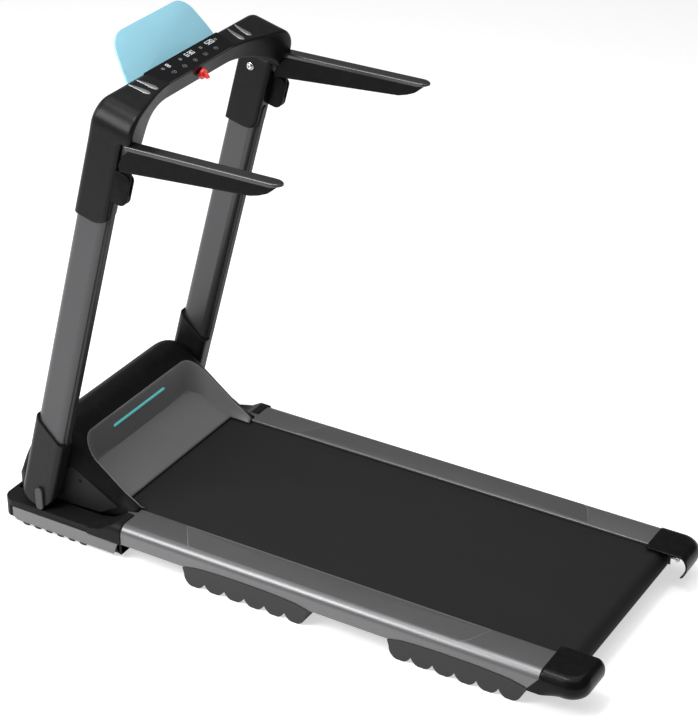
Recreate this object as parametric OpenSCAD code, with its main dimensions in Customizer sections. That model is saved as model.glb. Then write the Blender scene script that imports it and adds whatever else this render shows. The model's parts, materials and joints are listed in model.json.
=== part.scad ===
// Folding treadmill: walking deck, front base with motor hood, leaning mast with console and handrails.
// +X is the runner's right, +Y points to the motor hood, +Z is up. Millimetres.
// The origin is on the floor, in the middle of the machine's length and width.

/* [Deck] */
// Width of belt seen between the side rails
belt_view_w = 420; // [330:5:520]
// Width of one side rail
rail_w = 80; // [66:1:100]
// Height of the side rails' top above the floor
rail_top_z = 81; // [76:1:110]
// Height of the side rails' outer skirt
rail_h = 42; // [30:1:52]
// Length of side rail between rear cap and base
deck_l = 957; // [800:1:1200]
// Length of the rear end caps
cap_l = 92; // [80:1:115]
// Radius of both belt rollers
roller_r = 23.4; // [19:0.1:25]
// Thickness of the running belt
belt_t = 1.6; // [1:0.1:3]
// Thickness of the deck board
board_t = 12; // [8:1:14]

/* [Base and hood] */
// Length of the front base
base_l = 311; // [295:1:400]
// Height of the base platform
base_top_z = 54; // [48:1:60]
// Height of the motor hood's crown above the floor
hood_top_z = 233; // [215:1:260]
// Radius of the drive motor
motor_r = 42; // [30:1:46]

/* [Mast] */
// Lean of the mast towards the runner, in degrees
lean_deg = 15; // [8:1:18]
// Height of the fold pivot
pivot_z = 100; // [98:1:115]
// Thickness of the oval upright tubes
tube_w = 32; // [26:1:44]
// Depth of the oval upright tubes
tube_d = 71; // [60:1:90]
// Distance from the fold pivot to the console's top face
mast_l = 943; // [780:1:1150]

/* [Console and handrails] */
// Half length of the glossy display panel
panel_half_l = 124; // [100:1:150]
// Depth of the display panel
panel_d = 52; // [44:1:60]
// Length of the handrails
arm_l = 346; // [260:1:400]
// Width of the handrails
arm_w = 27; // [22:1:34]
// Drop from the console's top face to the top of the handrails
arm_drop = 65.87; // [60:0.01:80]
// Half width of the tablet board at its foot
tablet_half_w = 151; // [120:1:170]
// Length of the tablet board
tablet_l = 118; // [80:1:150]

/* [Hidden] */
$fn = 64;

// Clearances
fit = 0.3;      // seated plastic covers and pads
run_fit = 0.05; // radial, shafts in holes
gap = 2;        // between pieces that move past each other
weld = 0.01;    // depth by which welded pieces of one node overlap

// Lengthwise stations, from the rear
total_l = cap_l + deck_l + base_l;
deck_y = cap_l - total_l / 2;   // rear end of the side rails
base_y = deck_y + deck_l;       // rear edge of the base
front_y = total_l / 2;          // front of the base
rear_roller_y = deck_y - 18;
front_roller_y = base_y + 98;
pivot_y = front_y - 96;
motor_y = front_y - 88;
motor_z = 108;

// Deck section
rail_in = belt_view_w / 2;
rail_out = rail_in + rail_w;
rail_bot_z = rail_top_z - rail_h;
rail_r = 16;
rail_wall = 3;
rail_lip_t = 4.5;
belt_lap = 5;
belt_half_w = rail_in + belt_lap;
belt_top_z = rail_top_z - rail_lip_t - 2;
roller_z = belt_top_z - belt_t - roller_r;
roller_half_l = belt_half_w + 1;
board_top_z = belt_top_z - belt_t - fit;
board_bot_z = board_top_z - board_t;
frame_tube_in = belt_half_w + 7;
frame_tube_w = min(42, rail_out - 24 - frame_tube_in);
frame_tube_out = frame_tube_in + frame_tube_w;
frame_bot_z = 26;
cushion_t = 4.6;
frame_top_z = board_bot_z - cushion_t;
cross_bot_z = roller_z - roller_r + 4;
cross_top_z = frame_top_z - 8;
frame_end_y = base_y + 28;      // where the deck frame meets the base frame
board_front_y = front_roller_y - roller_r - 6;
tray_z = 12;                    // underside of the base
axle_r = 6;

// Base section
plate_t = 4;
pulley_w = 11;
pulley_x = roller_half_l + 1;
plate_in = pulley_x + pulley_w + 1;
plate_out = plate_in + plate_t;
hood_wall = 3;
hood_in = plate_out + 0.5;
hood_out = hood_in + hood_wall;
skin = 3;
shroud_t = 2.5;
shroud_l = 50;
boot_inner_t = 8.5;
boot_t = 5;
boot_in = hood_out + gap;
tube_in = boot_in + boot_inner_t;
tube_out = tube_in + tube_w;
tube_x = tube_in + tube_w / 2;
boot_out = tube_out + boot_t;
base_out = max(rail_out - 2, boot_out + 3);
corner_r = 30;
skirt_t = 3;
skirt_z = 9;
skirt_h = rail_bot_z - 0.5 - skirt_z;
motor_pulley_r = 18;
drive_belt_t = 2;
drive_belt_side = 1.5;           // pulley left bare on each side of the belt
roller_pulley_r = roller_z - tray_z - skin - drive_belt_t - 1.5;

// Hood: the sloping face that holds the pan, then a crown and a rounded nose
slope_z = rail_top_z + 3;
crest_y = base_y + 171;
crest_z = hood_top_z - 16;
crest_rise = 49;
hood_corner_r = 50;
pan_half_w = rail_in - 0.5;
pan_wall = 3;
pan_front_y = base_y + 155;
pan_floor_y = base_y + 48;
pan_floor_z = belt_top_z + 4.5;
pan_floor_back_z = 131;
pan_corner_r = 44;
light_half_l = 93;
light_z = 176;

// Mast section, in the leaning frame of the fold pivot
boot_r = tube_d / 2 + 4;
boot_l = 158;
boot_slant = 45;
boot_rear_l = boot_l - boot_slant / 2;
upright_foot = sqrt(pow(boot_r - 0.2, 2) - pow(tube_d / 2, 2));
upright_top = mast_l - 58;
spine_w = 16;
spine_d = 7;
spine_low = boot_rear_l + 2;
spine_end = mast_l - 190;
sleeve_bot = mast_l - 248;
sleeve_d = tube_d / 2 + 3;
sleeve_in = tube_in - 4;
sleeve_out = tube_out + 5;
bar_t = 41;
bar_front = -18;
bar_back = 40;
panel_t = 3;
elbow_r = 44;
arch_r = 35;
pin_r = 9;
pin_seat = 0.5;
leaf_pitch = 26;                 // spacing of the inlays beside the display
leaf_r = 5;
leaf_l = 46;
latch_y = -8;                    // lock lever's pin, beside the fold pivot
latch_u = 2;
latch_pin_r = 4;
bolt_u = mast_l - 109;           // height of the sleeve bolts

// Handrails, laid out from their fold pin
arm_pin_y = -60;                 // behind the mast's centre line
arm_pin_r = 4;
arm_h = 58;
arm_heel = 17;                   // pin to the handrail's underside
arm_out = sleeve_out + 1;
arm_in = arm_out - arm_w;
arm_top_z = pivot_z + mast_l * cos(lean_deg) - arm_drop;
bracket_in = arm_in + 8;
bracket_out = arm_out - 3;
cheek_t = 4;
strip_t = 9;
knuckle_r = 11;
bracket_r = 13;
bracket_back = arm_pin_y - bracket_r;
bracket_l = 56;                  // reach of the clevis below the pin

// Fold pin of the handrails in world coordinates
arm_pin_z = arm_top_z - arm_h - arm_heel;
arm_pin_u = (arm_pin_z - pivot_z - arm_pin_y * sin(lean_deg)) / cos(lean_deg);
arm_pin_wy = pivot_y + arm_pin_y * cos(lean_deg) - arm_pin_u * sin(lean_deg);
lip_d = sleeve_d + 19;

// Tablet board
tablet_tilt = 50;                // forward from the mast's line
tablet_t = 4;

// Feet
lobe_n = 6;
lobe_pitch = 47.6;
lobe_r = 25;
lobe_flat = 1.2;                 // depth of the worn flat under each lobe
foot_l = 298;
foot_in = frame_tube_in + 4;
foot_lap = 2.3;                  // how far the deck feet stand out past the rail
bump_pitch = 29.6;
bump_r = 11;

// ---------- helpers ----------

// Children drawn on the right are mirrored to the left for side -1
module on_side(side) {
    if (side < 0) mirror([1, 0, 0]) children();
    else children();
}

// A flat outline in X and Z, drawn out from y0 to y1
module along_y(y0, y1) {
    translate([0, y1, 0]) rotate([90, 0, 0]) linear_extrude(y1 - y0) children();
}

// A flat outline in Y and Z, drawn out from x0 to x1
module along_x(x0, x1) {
    translate([x0, 0, 0]) rotate([90, 0, 90]) linear_extrude(x1 - x0) children();
}

// The leaning frame of the mast: its origin is the fold pivot and its Z runs up the uprights
module mast() {
    translate([0, pivot_y, pivot_z]) rotate([lean_deg, 0, 0]) children();
}

module rod_x(x0, x1, r) {
    translate([x0, 0, 0]) rotate([0, 90, 0]) cylinder(h = x1 - x0, r = r);
}

module rod_y(y0, y1, r) {
    translate([0, y0, 0]) rotate([-90, 0, 0]) cylinder(h = y1 - y0, r = r);
}

module rect(x0, y0, x1, y1) {
    translate([x0, y0]) square([x1 - x0, y1 - y0]);
}

module round_rect(x0, y0, x1, y1, r) {
    rect(x0 + r, y0, x1 - r, y1);
    rect(x0, y0 + r, x1, y1 - r);
    for (x = [x0 + r, x1 - r], y = [y0 + r, y1 - r]) translate([x, y]) circle(r);
}

// Flattened oval with its long side along Y
module oval(w, d) {
    square([w, d - w], center = true);
    for (s = [-1, 1]) translate([0, s * (d - w) / 2]) circle(w / 2);
}

// Belt outline around two pulleys of radius ra and rb, the second at distance l along the first axis
module belt_outline(ra, rb, l) {
    a = acos((ra - rb) / l);
    n = 40;
    polygon(concat(
        [for (i = [0 : n]) let (t = a + (360 - 2 * a) * i / n) [ra * cos(t), ra * sin(t)]],
        [for (i = [0 : n]) let (t = -a + 2 * a * i / n) [l + rb * cos(t), rb * sin(t)]]
    ));
}

// Height up the mast of a handrail's top face, at distance y from the mast's centre line
function arm_top_u(y) = (arm_top_z - pivot_z - y * sin(lean_deg)) / cos(lean_deg);

function bezier(p, t) = pow(1 - t, 3) * p[0] + 3 * t * pow(1 - t, 2) * p[1]
    + 3 * t * t * (1 - t) * p[2] + pow(t, 3) * p[3];

// ---------- deck ----------

module deck_frame() {
    color("dimgray") {
        for (side = [-1, 1]) on_side(side) {
            difference() {
                translate([frame_tube_in, deck_y + gap, frame_bot_z])
                    cube([frame_tube_w, frame_end_y - deck_y - gap, frame_top_z - frame_bot_z]);
                translate([frame_tube_in + 2, deck_y, frame_bot_z + 2])
                    cube([frame_tube_w - 4, frame_end_y - deck_y + 1, frame_top_z - frame_bot_z - 4]);
            }
            // Rear plate that carries the rear roller's axle
            difference() {
                translate([frame_tube_in, rear_roller_y - 26, rail_bot_z - 1])
                    cube([plate_t, deck_y - rear_roller_y + 46, board_bot_z - rail_bot_z]);
                translate([0, rear_roller_y, roller_z])
                    rod_x(frame_tube_in - 1, frame_tube_in + plate_t + 1, axle_r + run_fit);
            }
        }
        for (y = [0.14, 0.42, 0.7, 0.94]) translate([-frame_tube_in - 1, deck_y + y * deck_l, cross_bot_z])
            cube([2 * frame_tube_in + 2, 40, cross_top_z - cross_bot_z]);
    }
}

module deck_board() {
    color("peru") {
        translate([-frame_tube_out, deck_y + 12, board_bot_z])
            cube([2 * frame_tube_out, base_y + 22 - deck_y - 12, board_t]);
        translate([-belt_half_w, base_y + 21, board_bot_z])
            cube([2 * belt_half_w, board_front_y - base_y - 21, board_t]);
    }
}

module deck_cushions() {
    color([0.1, 0.1, 0.1])
        for (side = [-1, 1], t = [0.1, 0.5, 0.9]) on_side(side)
            translate([frame_tube_in + frame_tube_w / 2, deck_y + t * deck_l, frame_top_z])
                cylinder(h = cushion_t, r = frame_tube_w / 2 - 5);
}

module belt_loop(r) {
    circle(r);
    translate([front_roller_y - rear_roller_y, 0]) circle(r);
    rect(0, -r, front_roller_y - rear_roller_y, r);
}

module running_belt() {
    color([0.14, 0.14, 0.14])
        translate([0, rear_roller_y, roller_z]) along_x(-belt_half_w, belt_half_w)
            difference() {
                belt_loop(roller_r + belt_t);
                belt_loop(roller_r);
            }
}

module roller(y) {
    translate([0, y, roller_z]) difference() {
        rod_x(-roller_half_l, roller_half_l, roller_r - run_fit);
        rod_x(-roller_half_l - 1, roller_half_l + 1, axle_r + run_fit);
        for (side = [-1, 1]) on_side(side) rod_x(roller_half_l - 5, roller_half_l + 1, roller_r - 8);
    }
}

module roller_front() {
    color("silver") roller(front_roller_y);
}

module roller_rear() {
    color("silver") roller(rear_roller_y);
}

// Grooved pulley on the runner's left end of the front roller
module roller_pulley() {
    color([0.25, 0.25, 0.27]) translate([0, front_roller_y, roller_z]) difference() {
        union() {
            rod_x(-pulley_x - pulley_w, -pulley_x, roller_pulley_r);
            rod_x(-pulley_x - weld, -roller_half_l + 4, roller_r - 8.3);
        }
        rod_x(-pulley_x - pulley_w - 1, -roller_half_l + 5, axle_r + run_fit);
        for (k = [0 : 3]) translate([-pulley_x - 2.2 - 2.2 * k, 0, 0]) difference() {
            rod_x(-0.5, 0.5, roller_pulley_r + 1);
            rod_x(-0.6, 0.6, roller_pulley_r - 1.2);
        }
    }
}

module roller_axles() {
    color("gainsboro") {
        translate([0, front_roller_y, roller_z]) rod_x(-plate_out, plate_out, axle_r);
        translate([0, rear_roller_y, roller_z]) {
            difference() {
                union() {
                    rod_x(-frame_tube_in - plate_t - 15, frame_tube_in + plate_t + 15, axle_r);
                    // Blocks that the tension bolts pull on
                    for (side = [-1, 1]) on_side(side)
                        translate([frame_tube_in + plate_t, -8, -9]) cube([15, 16, 18]);
                }
                for (side = [-1, 1]) on_side(side)
                    translate([frame_tube_in + plate_t + 8, 0, 0]) rod_y(-9, 9, 4 + run_fit);
            }
        }
    }
}

module tension_bolts() {
    color("lightgray")
        for (side = [-1, 1]) on_side(side)
            translate([frame_tube_in + plate_t + 8, rear_roller_y, roller_z]) difference() {
                union() {
                    rod_y(-36, 14, 4);
                    rod_y(-42, -36 + weld, 7);
                }
                rod_y(-43, -38, 3);
            }
}

// Section of a side rail: flat top, rounded shoulder and outer skirt, grown outwards by g
module rail_outline(g) {
    rect(rail_in, rail_bot_z, rail_out - rail_r, rail_top_z + g);
    rect(rail_in, rail_bot_z, rail_out + g, rail_top_z - rail_r);
    translate([rail_out - rail_r, rail_top_z - rail_r]) circle(rail_r + g);
}

// Plan of the grip strip let into a rail's top, grown by g
module grip_plan(g) {
    x0 = rail_in + 4 - g;
    x1 = rail_out - rail_r + g;
    polygon([
        [x0, deck_y + 138 - g], [x1, deck_y + 164 - g],
        [x1, base_y - 163 + g], [x0, base_y - 114 + g]
    ]);
}

module rail(side) {
    on_side(side) difference() {
        along_y(deck_y, base_y + 20) difference() {
            rail_outline(0);
            // Hollow under the top, open inwards over the belt
            rect(rail_in - 1, rail_bot_z - 1, rail_out - rail_r, rail_top_z - rail_lip_t);
            rect(rail_in - 1, rail_bot_z + rail_wall, rail_out - rail_wall, rail_top_z - rail_r);
            translate([rail_out - rail_r, rail_top_z - rail_r]) circle(rail_r - rail_wall);
        }
        translate([0, 0, rail_top_z - 1.5]) linear_extrude(5) grip_plan(0.2);
    }
}

module rail_left() {
    color([0.32, 0.33, 0.34]) rail(-1);
}

module rail_right() {
    color([0.32, 0.33, 0.34]) rail(1);
}

module grip(side) {
    on_side(side) {
        translate([0, 0, rail_top_z - 1.5]) linear_extrude(1.7) grip_plan(0);
        // Low cross ribs underfoot
        intersection() {
            for (y = [deck_y + 150 : 12 : base_y - 130]) translate([rail_in, y, rail_top_z])
                cube([rail_w, 4, 0.8]);
            translate([0, 0, rail_top_z - 1]) linear_extrude(5) grip_plan(-3);
        }
    }
}

module grip_left() {
    color([0.28, 0.28, 0.29]) grip(-1);
}

module grip_right() {
    color([0.28, 0.28, 0.29]) grip(1);
}

// Rear end cap: closes the rail, hides the tension bolt and overhangs the belt's edge
module cap(side) {
    top = rail_top_z + 3;
    bot = rail_bot_z - 11;
    inner = rail_in - 18;
    lap_in = rail_in - 11;
    on_side(side) difference() {
        intersection() {
            linear_extrude(top + 10) union() {
                rect(inner + 14, deck_y - cap_l, rail_out - 34, deck_y);
                rect(inner, deck_y - cap_l + 14, rail_out + 1, deck_y);
                translate([inner + 14, deck_y - cap_l + 14]) circle(14);
                translate([rail_out - 34, deck_y - cap_l + 35]) circle(35);
            }
            along_x(inner - 1, rail_out + 2) polygon([
                [deck_y, bot], [deck_y, top], [deck_y - cap_l + 8, top], [deck_y - cap_l, top - 8],
                [deck_y - cap_l + 1, top - 18], [deck_y - cap_l + 22, bot + 12], [deck_y - cap_l + 36, bot]
            ]);
            along_y(deck_y - cap_l - 1, deck_y + 1) union() {
                rect(inner - 1, bot, rail_out + 1 - rail_r, top);
                rect(inner - 1, bot, rail_out + 1, top - rail_r);
                translate([rail_out + 1 - rail_r, top - rail_r]) circle(rail_r);
            }
        }
        // Hollow for the roller's end, the axle plate and the bolt
        translate([0, rear_roller_y, roller_z]) rod_x(inner - 2, rail_in + 12, roller_r + belt_t + 3);
        translate([inner - 2, rear_roller_y, roller_z - roller_r - belt_t - 3])
            cube([rail_in + 14 - inner, cap_l, roller_r * 2 + belt_t * 2 + 3]);
        translate([inner - 2, deck_y - 20, rail_bot_z - 12]) cube([lap_in - inner + 2, 40, 90]);
        translate([rail_in + 10, rear_roller_y - 44, rail_bot_z - 3])
            cube([frame_tube_out - rail_in - 10, cap_l, board_top_z + 2 - rail_bot_z]);
        translate([frame_tube_in + plate_t + 8, rear_roller_y - 60, roller_z]) rod_y(-40, 20, 5);
    }
}

module cap_left() {
    color([0.05, 0.05, 0.05]) cap(-1);
}

module cap_right() {
    color([0.05, 0.05, 0.05]) cap(1);
}

// ---------- base and drive ----------

module base_frame() {
    color("dimgray") difference() {
        union() {
            for (side = [-1, 1]) on_side(side) {
                // Bolting flange on the deck frame's end
                translate([frame_tube_in, frame_end_y, frame_bot_z])
                    cube([frame_tube_w, plate_t, frame_top_z - frame_bot_z]);
                along_x(plate_in, plate_out) polygon([
                    [frame_end_y, tray_z + 4], [frame_end_y, frame_top_z], [board_front_y + 3, frame_top_z],
                    [pivot_y - 44, pivot_z + 26], [pivot_y - 18, pivot_z + 34],
                    [pivot_y + 18, pivot_z + 34], [front_y - 44, pivot_z - 10], [front_y - 24, tray_z + 4]
                ]);
            }
            for (y = [front_y - 88, front_y - 162])
                translate([-plate_in - 1, y, tray_z + 4]) cube([2 * plate_in + 2, 30, 22]);
            // Motor cradle between the two cross tubes
            translate([-90, front_y - 134, tray_z + 4]) cube([100, 48, 8]);
            for (x = [-80, -14]) translate([x, motor_y - 30, tray_z + 4]) cube([14, 60, 62]);
        }
        translate([0, motor_y, motor_z]) rod_x(-120, 20, motor_r + 0.1);
        translate([0, front_roller_y, roller_z]) rod_x(-plate_out - 1, plate_out + 1, axle_r + run_fit);
        translate([0, pivot_y, pivot_z]) for (side = [-1, 1]) on_side(side)
            rod_x(plate_in - 1, plate_out + 1, pin_r + pin_seat);
    }
}

// Plan of the base: square at the rear, rounded at the front, pulled in by g
module base_plan(g) {
    rect(-base_out + g, base_y, base_out - g, front_y - corner_r);
    rect(-base_out + corner_r, base_y, base_out - corner_r, front_y - g);
    for (side = [-1, 1]) translate([side * (base_out - corner_r), front_y - corner_r]) circle(corner_r - g);
}

// Height of the shroud over a rail's end, sloping down to the platform
module shroud_side(g) {
    polygon([
        [base_y, tray_z], [base_y, rail_top_z + shroud_t + 0.5 - g], [base_y + 16, rail_top_z + shroud_t + 0.5 - g],
        [base_y + shroud_l, base_top_z + 8 - g], [base_y + shroud_l + 34, base_top_z - g], [base_y + shroud_l + 34, tray_z]
    ]);
}

module base_platform() {
    recess = skirt_t - 1;
    color([0.09, 0.09, 0.09]) difference() {
        union() {
            difference() {
                translate([0, 0, tray_z]) linear_extrude(base_top_z - tray_z) base_plan(0);
                translate([0, 0, tray_z + skin]) linear_extrude(base_top_z - tray_z - 2 * skin)
                    intersection() {
                        base_plan(skin);
                        rect(-base_out, base_y + skin, base_out, front_y);
                    }
                // Opening under the hood
                translate([-hood_out - 0.2, base_y - 1, tray_z + skin])
                    cube([2 * hood_out + 0.4, front_y - base_y - skin - 4, base_top_z]);
                // The deck frame and rails come in from the rear
                translate([-base_out + skin, base_y - 1, tray_z + skin])
                    cube([2 * base_out - 2 * skin, shroud_l + 40, base_top_z - tray_z - 2 * skin]);
                along_y(base_y - 1, base_y + 21) for (side = [-1, 1]) mirror([side < 0 ? 1 : 0, 0])
                    rail_outline(fit);
                translate([-base_out + skin, base_y - 1, tray_z + skin])
                    cube([2 * base_out - 2 * skin, frame_end_y - base_y + 8, base_top_z]);
            }
            // Shrouds over the rails' front ends
            for (side = [-1, 1]) on_side(side) difference() {
                intersection() {
                    along_y(base_y, base_y + shroud_l + 34) intersection() {
                        rail_outline(shroud_t);
                        rect(hood_out + 0.2, tray_z, rail_out + 10, rail_top_z + 10);
                    }
                    along_x(hood_out, rail_out + 10) shroud_side(0);
                }
                along_y(base_y - 1, base_y + 21) rail_outline(fit);
                intersection() {
                    along_y(base_y + 20, base_y + shroud_l + 40)
                        rect(hood_out - 1, tray_z, base_out - skin, rail_top_z + 10);
                    along_x(hood_out - 1, rail_out + 10) shroud_side(shroud_t);
                }
            }
        }
        // Seats of the side skirts
        for (side = [-1, 1]) on_side(side)
            translate([base_out - recess, base_y + 6, skirt_z - 1])
                cube([recess + 10, base_l - 6 - corner_r + 8, skirt_h + 1 + 0.3]);
        // Window of the power panel
        translate([84, front_y - 20, tray_z + 7]) cube([72.6, 30, 32.6]);
        // Pockets of the transport wheels
        for (side = [-1, 1]) on_side(side)
            translate([rail_in - 16, front_y - 54, tray_z - 1]) cube([24, 46, skin + 2]);
        for (side = [-1, 1]) on_side(side)
            translate([rail_in - 16, front_y - 54, tray_z - 1]) cube([24, 46, 36]);
    }
}

module skirt(side) {
    recess = skirt_t - 1;
    on_side(side) along_x(base_out - recess, base_out + 1) polygon([
        [base_y + 8, skirt_z + skirt_h], [base_y + 20, skirt_z], [front_y - corner_r - 10, skirt_z],
        [front_y - corner_r, skirt_z + 8], [front_y - corner_r, skirt_z + skirt_h]
    ]);
}

module skirt_left() {
    color([0.47, 0.47, 0.48]) skirt(-1);
}

module skirt_right() {
    color([0.47, 0.47, 0.48]) skirt(1);
}

// Side outline of the hood, pulled in by g
module hood_side(g) {
    s = (crest_z - slope_z) / (crest_y - base_y);
    drop = g * sqrt(1 + s * s);
    nose = [
        [crest_y, crest_z - drop], [crest_y + 48 - g * 0.3, crest_z + crest_rise - drop],
        [front_y - 16 - g, base_top_z + 130 - g], [front_y - 1 - g, base_top_z]
    ];
    polygon(concat(
        [[base_y, base_top_z], [base_y, slope_z - drop]],
        [for (i = [0 : 24]) bezier(nose, i / 24)]
    ));
}

module hood_front(g) {
    top = hood_top_z + 6;
    rect(-hood_out + g, base_top_z, hood_out - g, top - hood_corner_r);
    rect(-hood_out + hood_corner_r, base_top_z, hood_out - hood_corner_r, top);
    for (side = [-1, 1]) translate([side * (hood_out - hood_corner_r), top - hood_corner_r])
        circle(hood_corner_r - g);
}

// Plan of the pan's opening, pulled in by g
module pan_plan(g) {
    rect(-pan_half_w + g, base_y - 1, pan_half_w - g, pan_front_y - pan_corner_r);
    rect(-pan_half_w + pan_corner_r, base_y - 1, pan_half_w - pan_corner_r, pan_front_y - g);
    for (side = [-1, 1]) translate([side * (pan_half_w - pan_corner_r), pan_front_y - pan_corner_r])
        circle(pan_corner_r - g);
}

module hood_cover() {
    color([0.07, 0.07, 0.07]) difference() {
        intersection() {
            along_x(-hood_out, hood_out) hood_side(0);
            along_y(base_y, front_y) hood_front(0);
        }
        intersection() {
            along_x(-hood_in, hood_in) difference() {
                hood_side(hood_wall);
                rect(base_y - 1, 0, base_y + hood_wall, hood_top_z);
            }
            along_y(base_y - 1, front_y) hood_front(hood_wall);
        }
        translate([-hood_in, base_y + hood_wall, base_top_z - 1]) cube([2 * hood_in, base_l - 12, 3]);
        linear_extrude(hood_top_z + 20) pan_plan(-fit);
        // The deck comes in from the rear
        translate([-hood_in, base_y - 1, base_top_z - 1])
            cube([2 * hood_in, hood_wall + 2, rail_top_z + fit - base_top_z + 1]);
        translate([-hood_out - 1, base_y - 1, 0])
            cube([2 * hood_out + 2, frame_end_y + plate_t + 3 - base_y, rail_top_z + fit]);
        // Fold pivot holes
        translate([0, pivot_y, pivot_z]) rod_x(-hood_out - 1, hood_out + 1, pin_r + 1);
    }
}

module hood_pan() {
    back_y = pan_front_y - pan_wall;
    color([0.36, 0.36, 0.37]) intersection() {
        union() {
            difference() {
                translate([0, 0, belt_top_z + 2]) linear_extrude(hood_top_z) pan_plan(0);
                translate([0, 0, belt_top_z]) linear_extrude(hood_top_z + 10) pan_plan(pan_wall);
            }
            // Sloping floor, from the belt up to the back wall
            intersection() {
                translate([0, 0, belt_top_z + 2]) linear_extrude(hood_top_z) pan_plan(1);
                along_x(-pan_half_w, pan_half_w) polygon([
                    [pan_floor_y, pan_floor_z - 2.5], [pan_floor_y, pan_floor_z], [back_y - 10, pan_floor_back_z],
                    [back_y + 1, pan_floor_back_z + 12], [back_y + 1, pan_floor_back_z + 6],
                    [back_y - 8, pan_floor_back_z - pan_wall - 1], [pan_floor_y + 3, pan_floor_z - 2.5]
                ]);
            }
        }
        along_x(-hood_out, hood_out) union() {
            hood_side(0);
            rect(base_y, belt_top_z, front_y, slope_z);
        }
    }
}

module light_bar() {
    color([0.35, 0.75, 0.75]) translate([0, pan_front_y - pan_wall - 1.5, 0]) along_y(0, 1.5)
        round_rect(-light_half_l, light_z - 3, light_half_l, light_z + 3, 2.9);
}

module gusset(side) {
    on_side(side) difference() {
        along_x(hood_out, hood_out + 1.2) polygon([
            [pivot_y - 60, pivot_z + 52], [base_y + 40, rail_top_z + 6], [base_y + 88, base_top_z + 6],
            [pivot_y - 10, base_top_z + 2], [pivot_y - 20, pivot_z + 20]
        ]);
        translate([0, pivot_y - 80, pivot_z + 22]) rod_x(hood_out - 1, hood_out + 3, 4);
        translate([0, pivot_y, pivot_z]) rod_x(hood_out - 1, hood_out + 3, pin_r + 1);
    }
}

module gusset_left() {
    color([0.12, 0.12, 0.12]) gusset(-1);
}

module gusset_right() {
    color([0.12, 0.12, 0.12]) gusset(1);
}

module drive_motor() {
    color([0.2, 0.2, 0.22]) translate([0, motor_y, motor_z]) difference() {
        union() {
            rod_x(-100, 30, motor_r);
            rod_x(-112, 42, motor_r - 8);
            rod_x(-118, 48, 16);
        }
        rod_x(-120, -90, axle_r + run_fit);
        // Cooling slots around the end bell
        for (a = [0 : 45 : 315]) rotate([a, 0, 0]) translate([36, -3, motor_r - 20]) cube([10, 6, 10]);
    }
}

module motor_rotor() {
    color("silver") translate([0, motor_y, motor_z]) {
        rod_x(-pulley_x - pulley_w, -91, axle_r);
        rod_x(-152, -140, 32);
        difference() {
            rod_x(-pulley_x - pulley_w, -pulley_x, motor_pulley_r);
            for (k = [0 : 3]) translate([-pulley_x - 2.2 - 2.2 * k, 0, 0]) difference() {
                rod_x(-0.5, 0.5, motor_pulley_r + 1);
                rod_x(-0.6, 0.6, motor_pulley_r - 1.2);
            }
        }
    }
}

module drive_belt() {
    dy = motor_y - front_roller_y;
    dz = motor_z - roller_z;
    span = sqrt(dy * dy + dz * dz);
    color([0.08, 0.08, 0.08])
        translate([0, front_roller_y, roller_z]) rotate([atan2(dz, dy), 0, 0])
            along_x(-pulley_x - pulley_w + drive_belt_side, -pulley_x - drive_belt_side) difference() {
                belt_outline(roller_pulley_r + drive_belt_t, motor_pulley_r + drive_belt_t, span);
                belt_outline(roller_pulley_r + fit, motor_pulley_r + fit, span);
            }
}

module controller() {
    y0 = front_y - 130;
    color([0.1, 0.3, 0.2]) {
        translate([60, y0, tray_z + skin]) cube([130, 40, 14]);
        for (k = [0 : 6]) translate([64 + 10 * k, y0 + 3, tray_z + skin + 13]) cube([3, 34, 26]);
        for (k = [0 : 1]) translate([146 + 26 * k, y0 + 20, tray_z + skin + 13]) cylinder(h = 30, r = 11);
    }
}

// Mains inlet and on/off switch on the front wall
module power_panel() {
    y1 = front_y;
    z0 = tray_z + 7.3;
    color([0.06, 0.06, 0.06]) difference() {
        translate([84.3, y1 - 16, z0]) cube([72, 15, 32]);
        translate([90, y1 - 13, z0 + 5]) cube([28, 14, 20]);
        translate([128, y1 - 13, z0 + 6]) cube([18, 14, 20]);
        translate([0, y1 - 6, z0 + 16]) rod_x(125, 149, 1.5 + run_fit);
    }
    color("silver") for (x = [97, 104, 111])
        translate([x - 1, y1 - 13 - weld, z0 + (x == 104 ? 17 : 11)]) cube([2, 5, 5]);
}

module switch_rocker() {
    color([0.6, 0.08, 0.06]) translate([0, front_y - 6, tray_z + 23.3]) rotate([-7, 0, 0]) {
        along_x(129, 145) polygon([[-3, -7], [4, -8], [2.5, 0], [4, 8], [-3, 7]]);
        rod_x(125.5, 148.5, 1.5);
    }
}

module wheel_axles() {
    color("gainsboro") for (side = [-1, 1]) on_side(side) {
        translate([0, front_y - 31, 23]) rod_x(rail_in - 24, rail_in + 14, 4);
        for (x = [rail_in - 24, rail_in + 10]) translate([x, front_y - 37, tray_z + skin]) difference() {
            cube([4, 12, 16]);
            translate([-1, 6, 23 - tray_z - skin]) rod_x(0, 6, 4 - weld);
        }
    }
}

module wheel(side) {
    color([0.13, 0.13, 0.13]) on_side(side) translate([0, front_y - 31, 23]) difference() {
        union() {
            rod_x(rail_in - 13, rail_in + 5, 19);
            rod_x(rail_in - 15, rail_in + 7, 8);
        }
        rod_x(rail_in - 16, rail_in + 8, 4 + run_fit);
        for (s = [0, 1]) translate([s == 0 ? rail_in - 14 : rail_in + 2, 0, 0]) difference() {
            rod_x(0, 4, 15);
            rod_x(-1, 5, 8);
        }
    }
}

module wheel_left() {
    wheel(-1);
}

module wheel_right() {
    wheel(1);
}

// ---------- feet ----------

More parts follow.
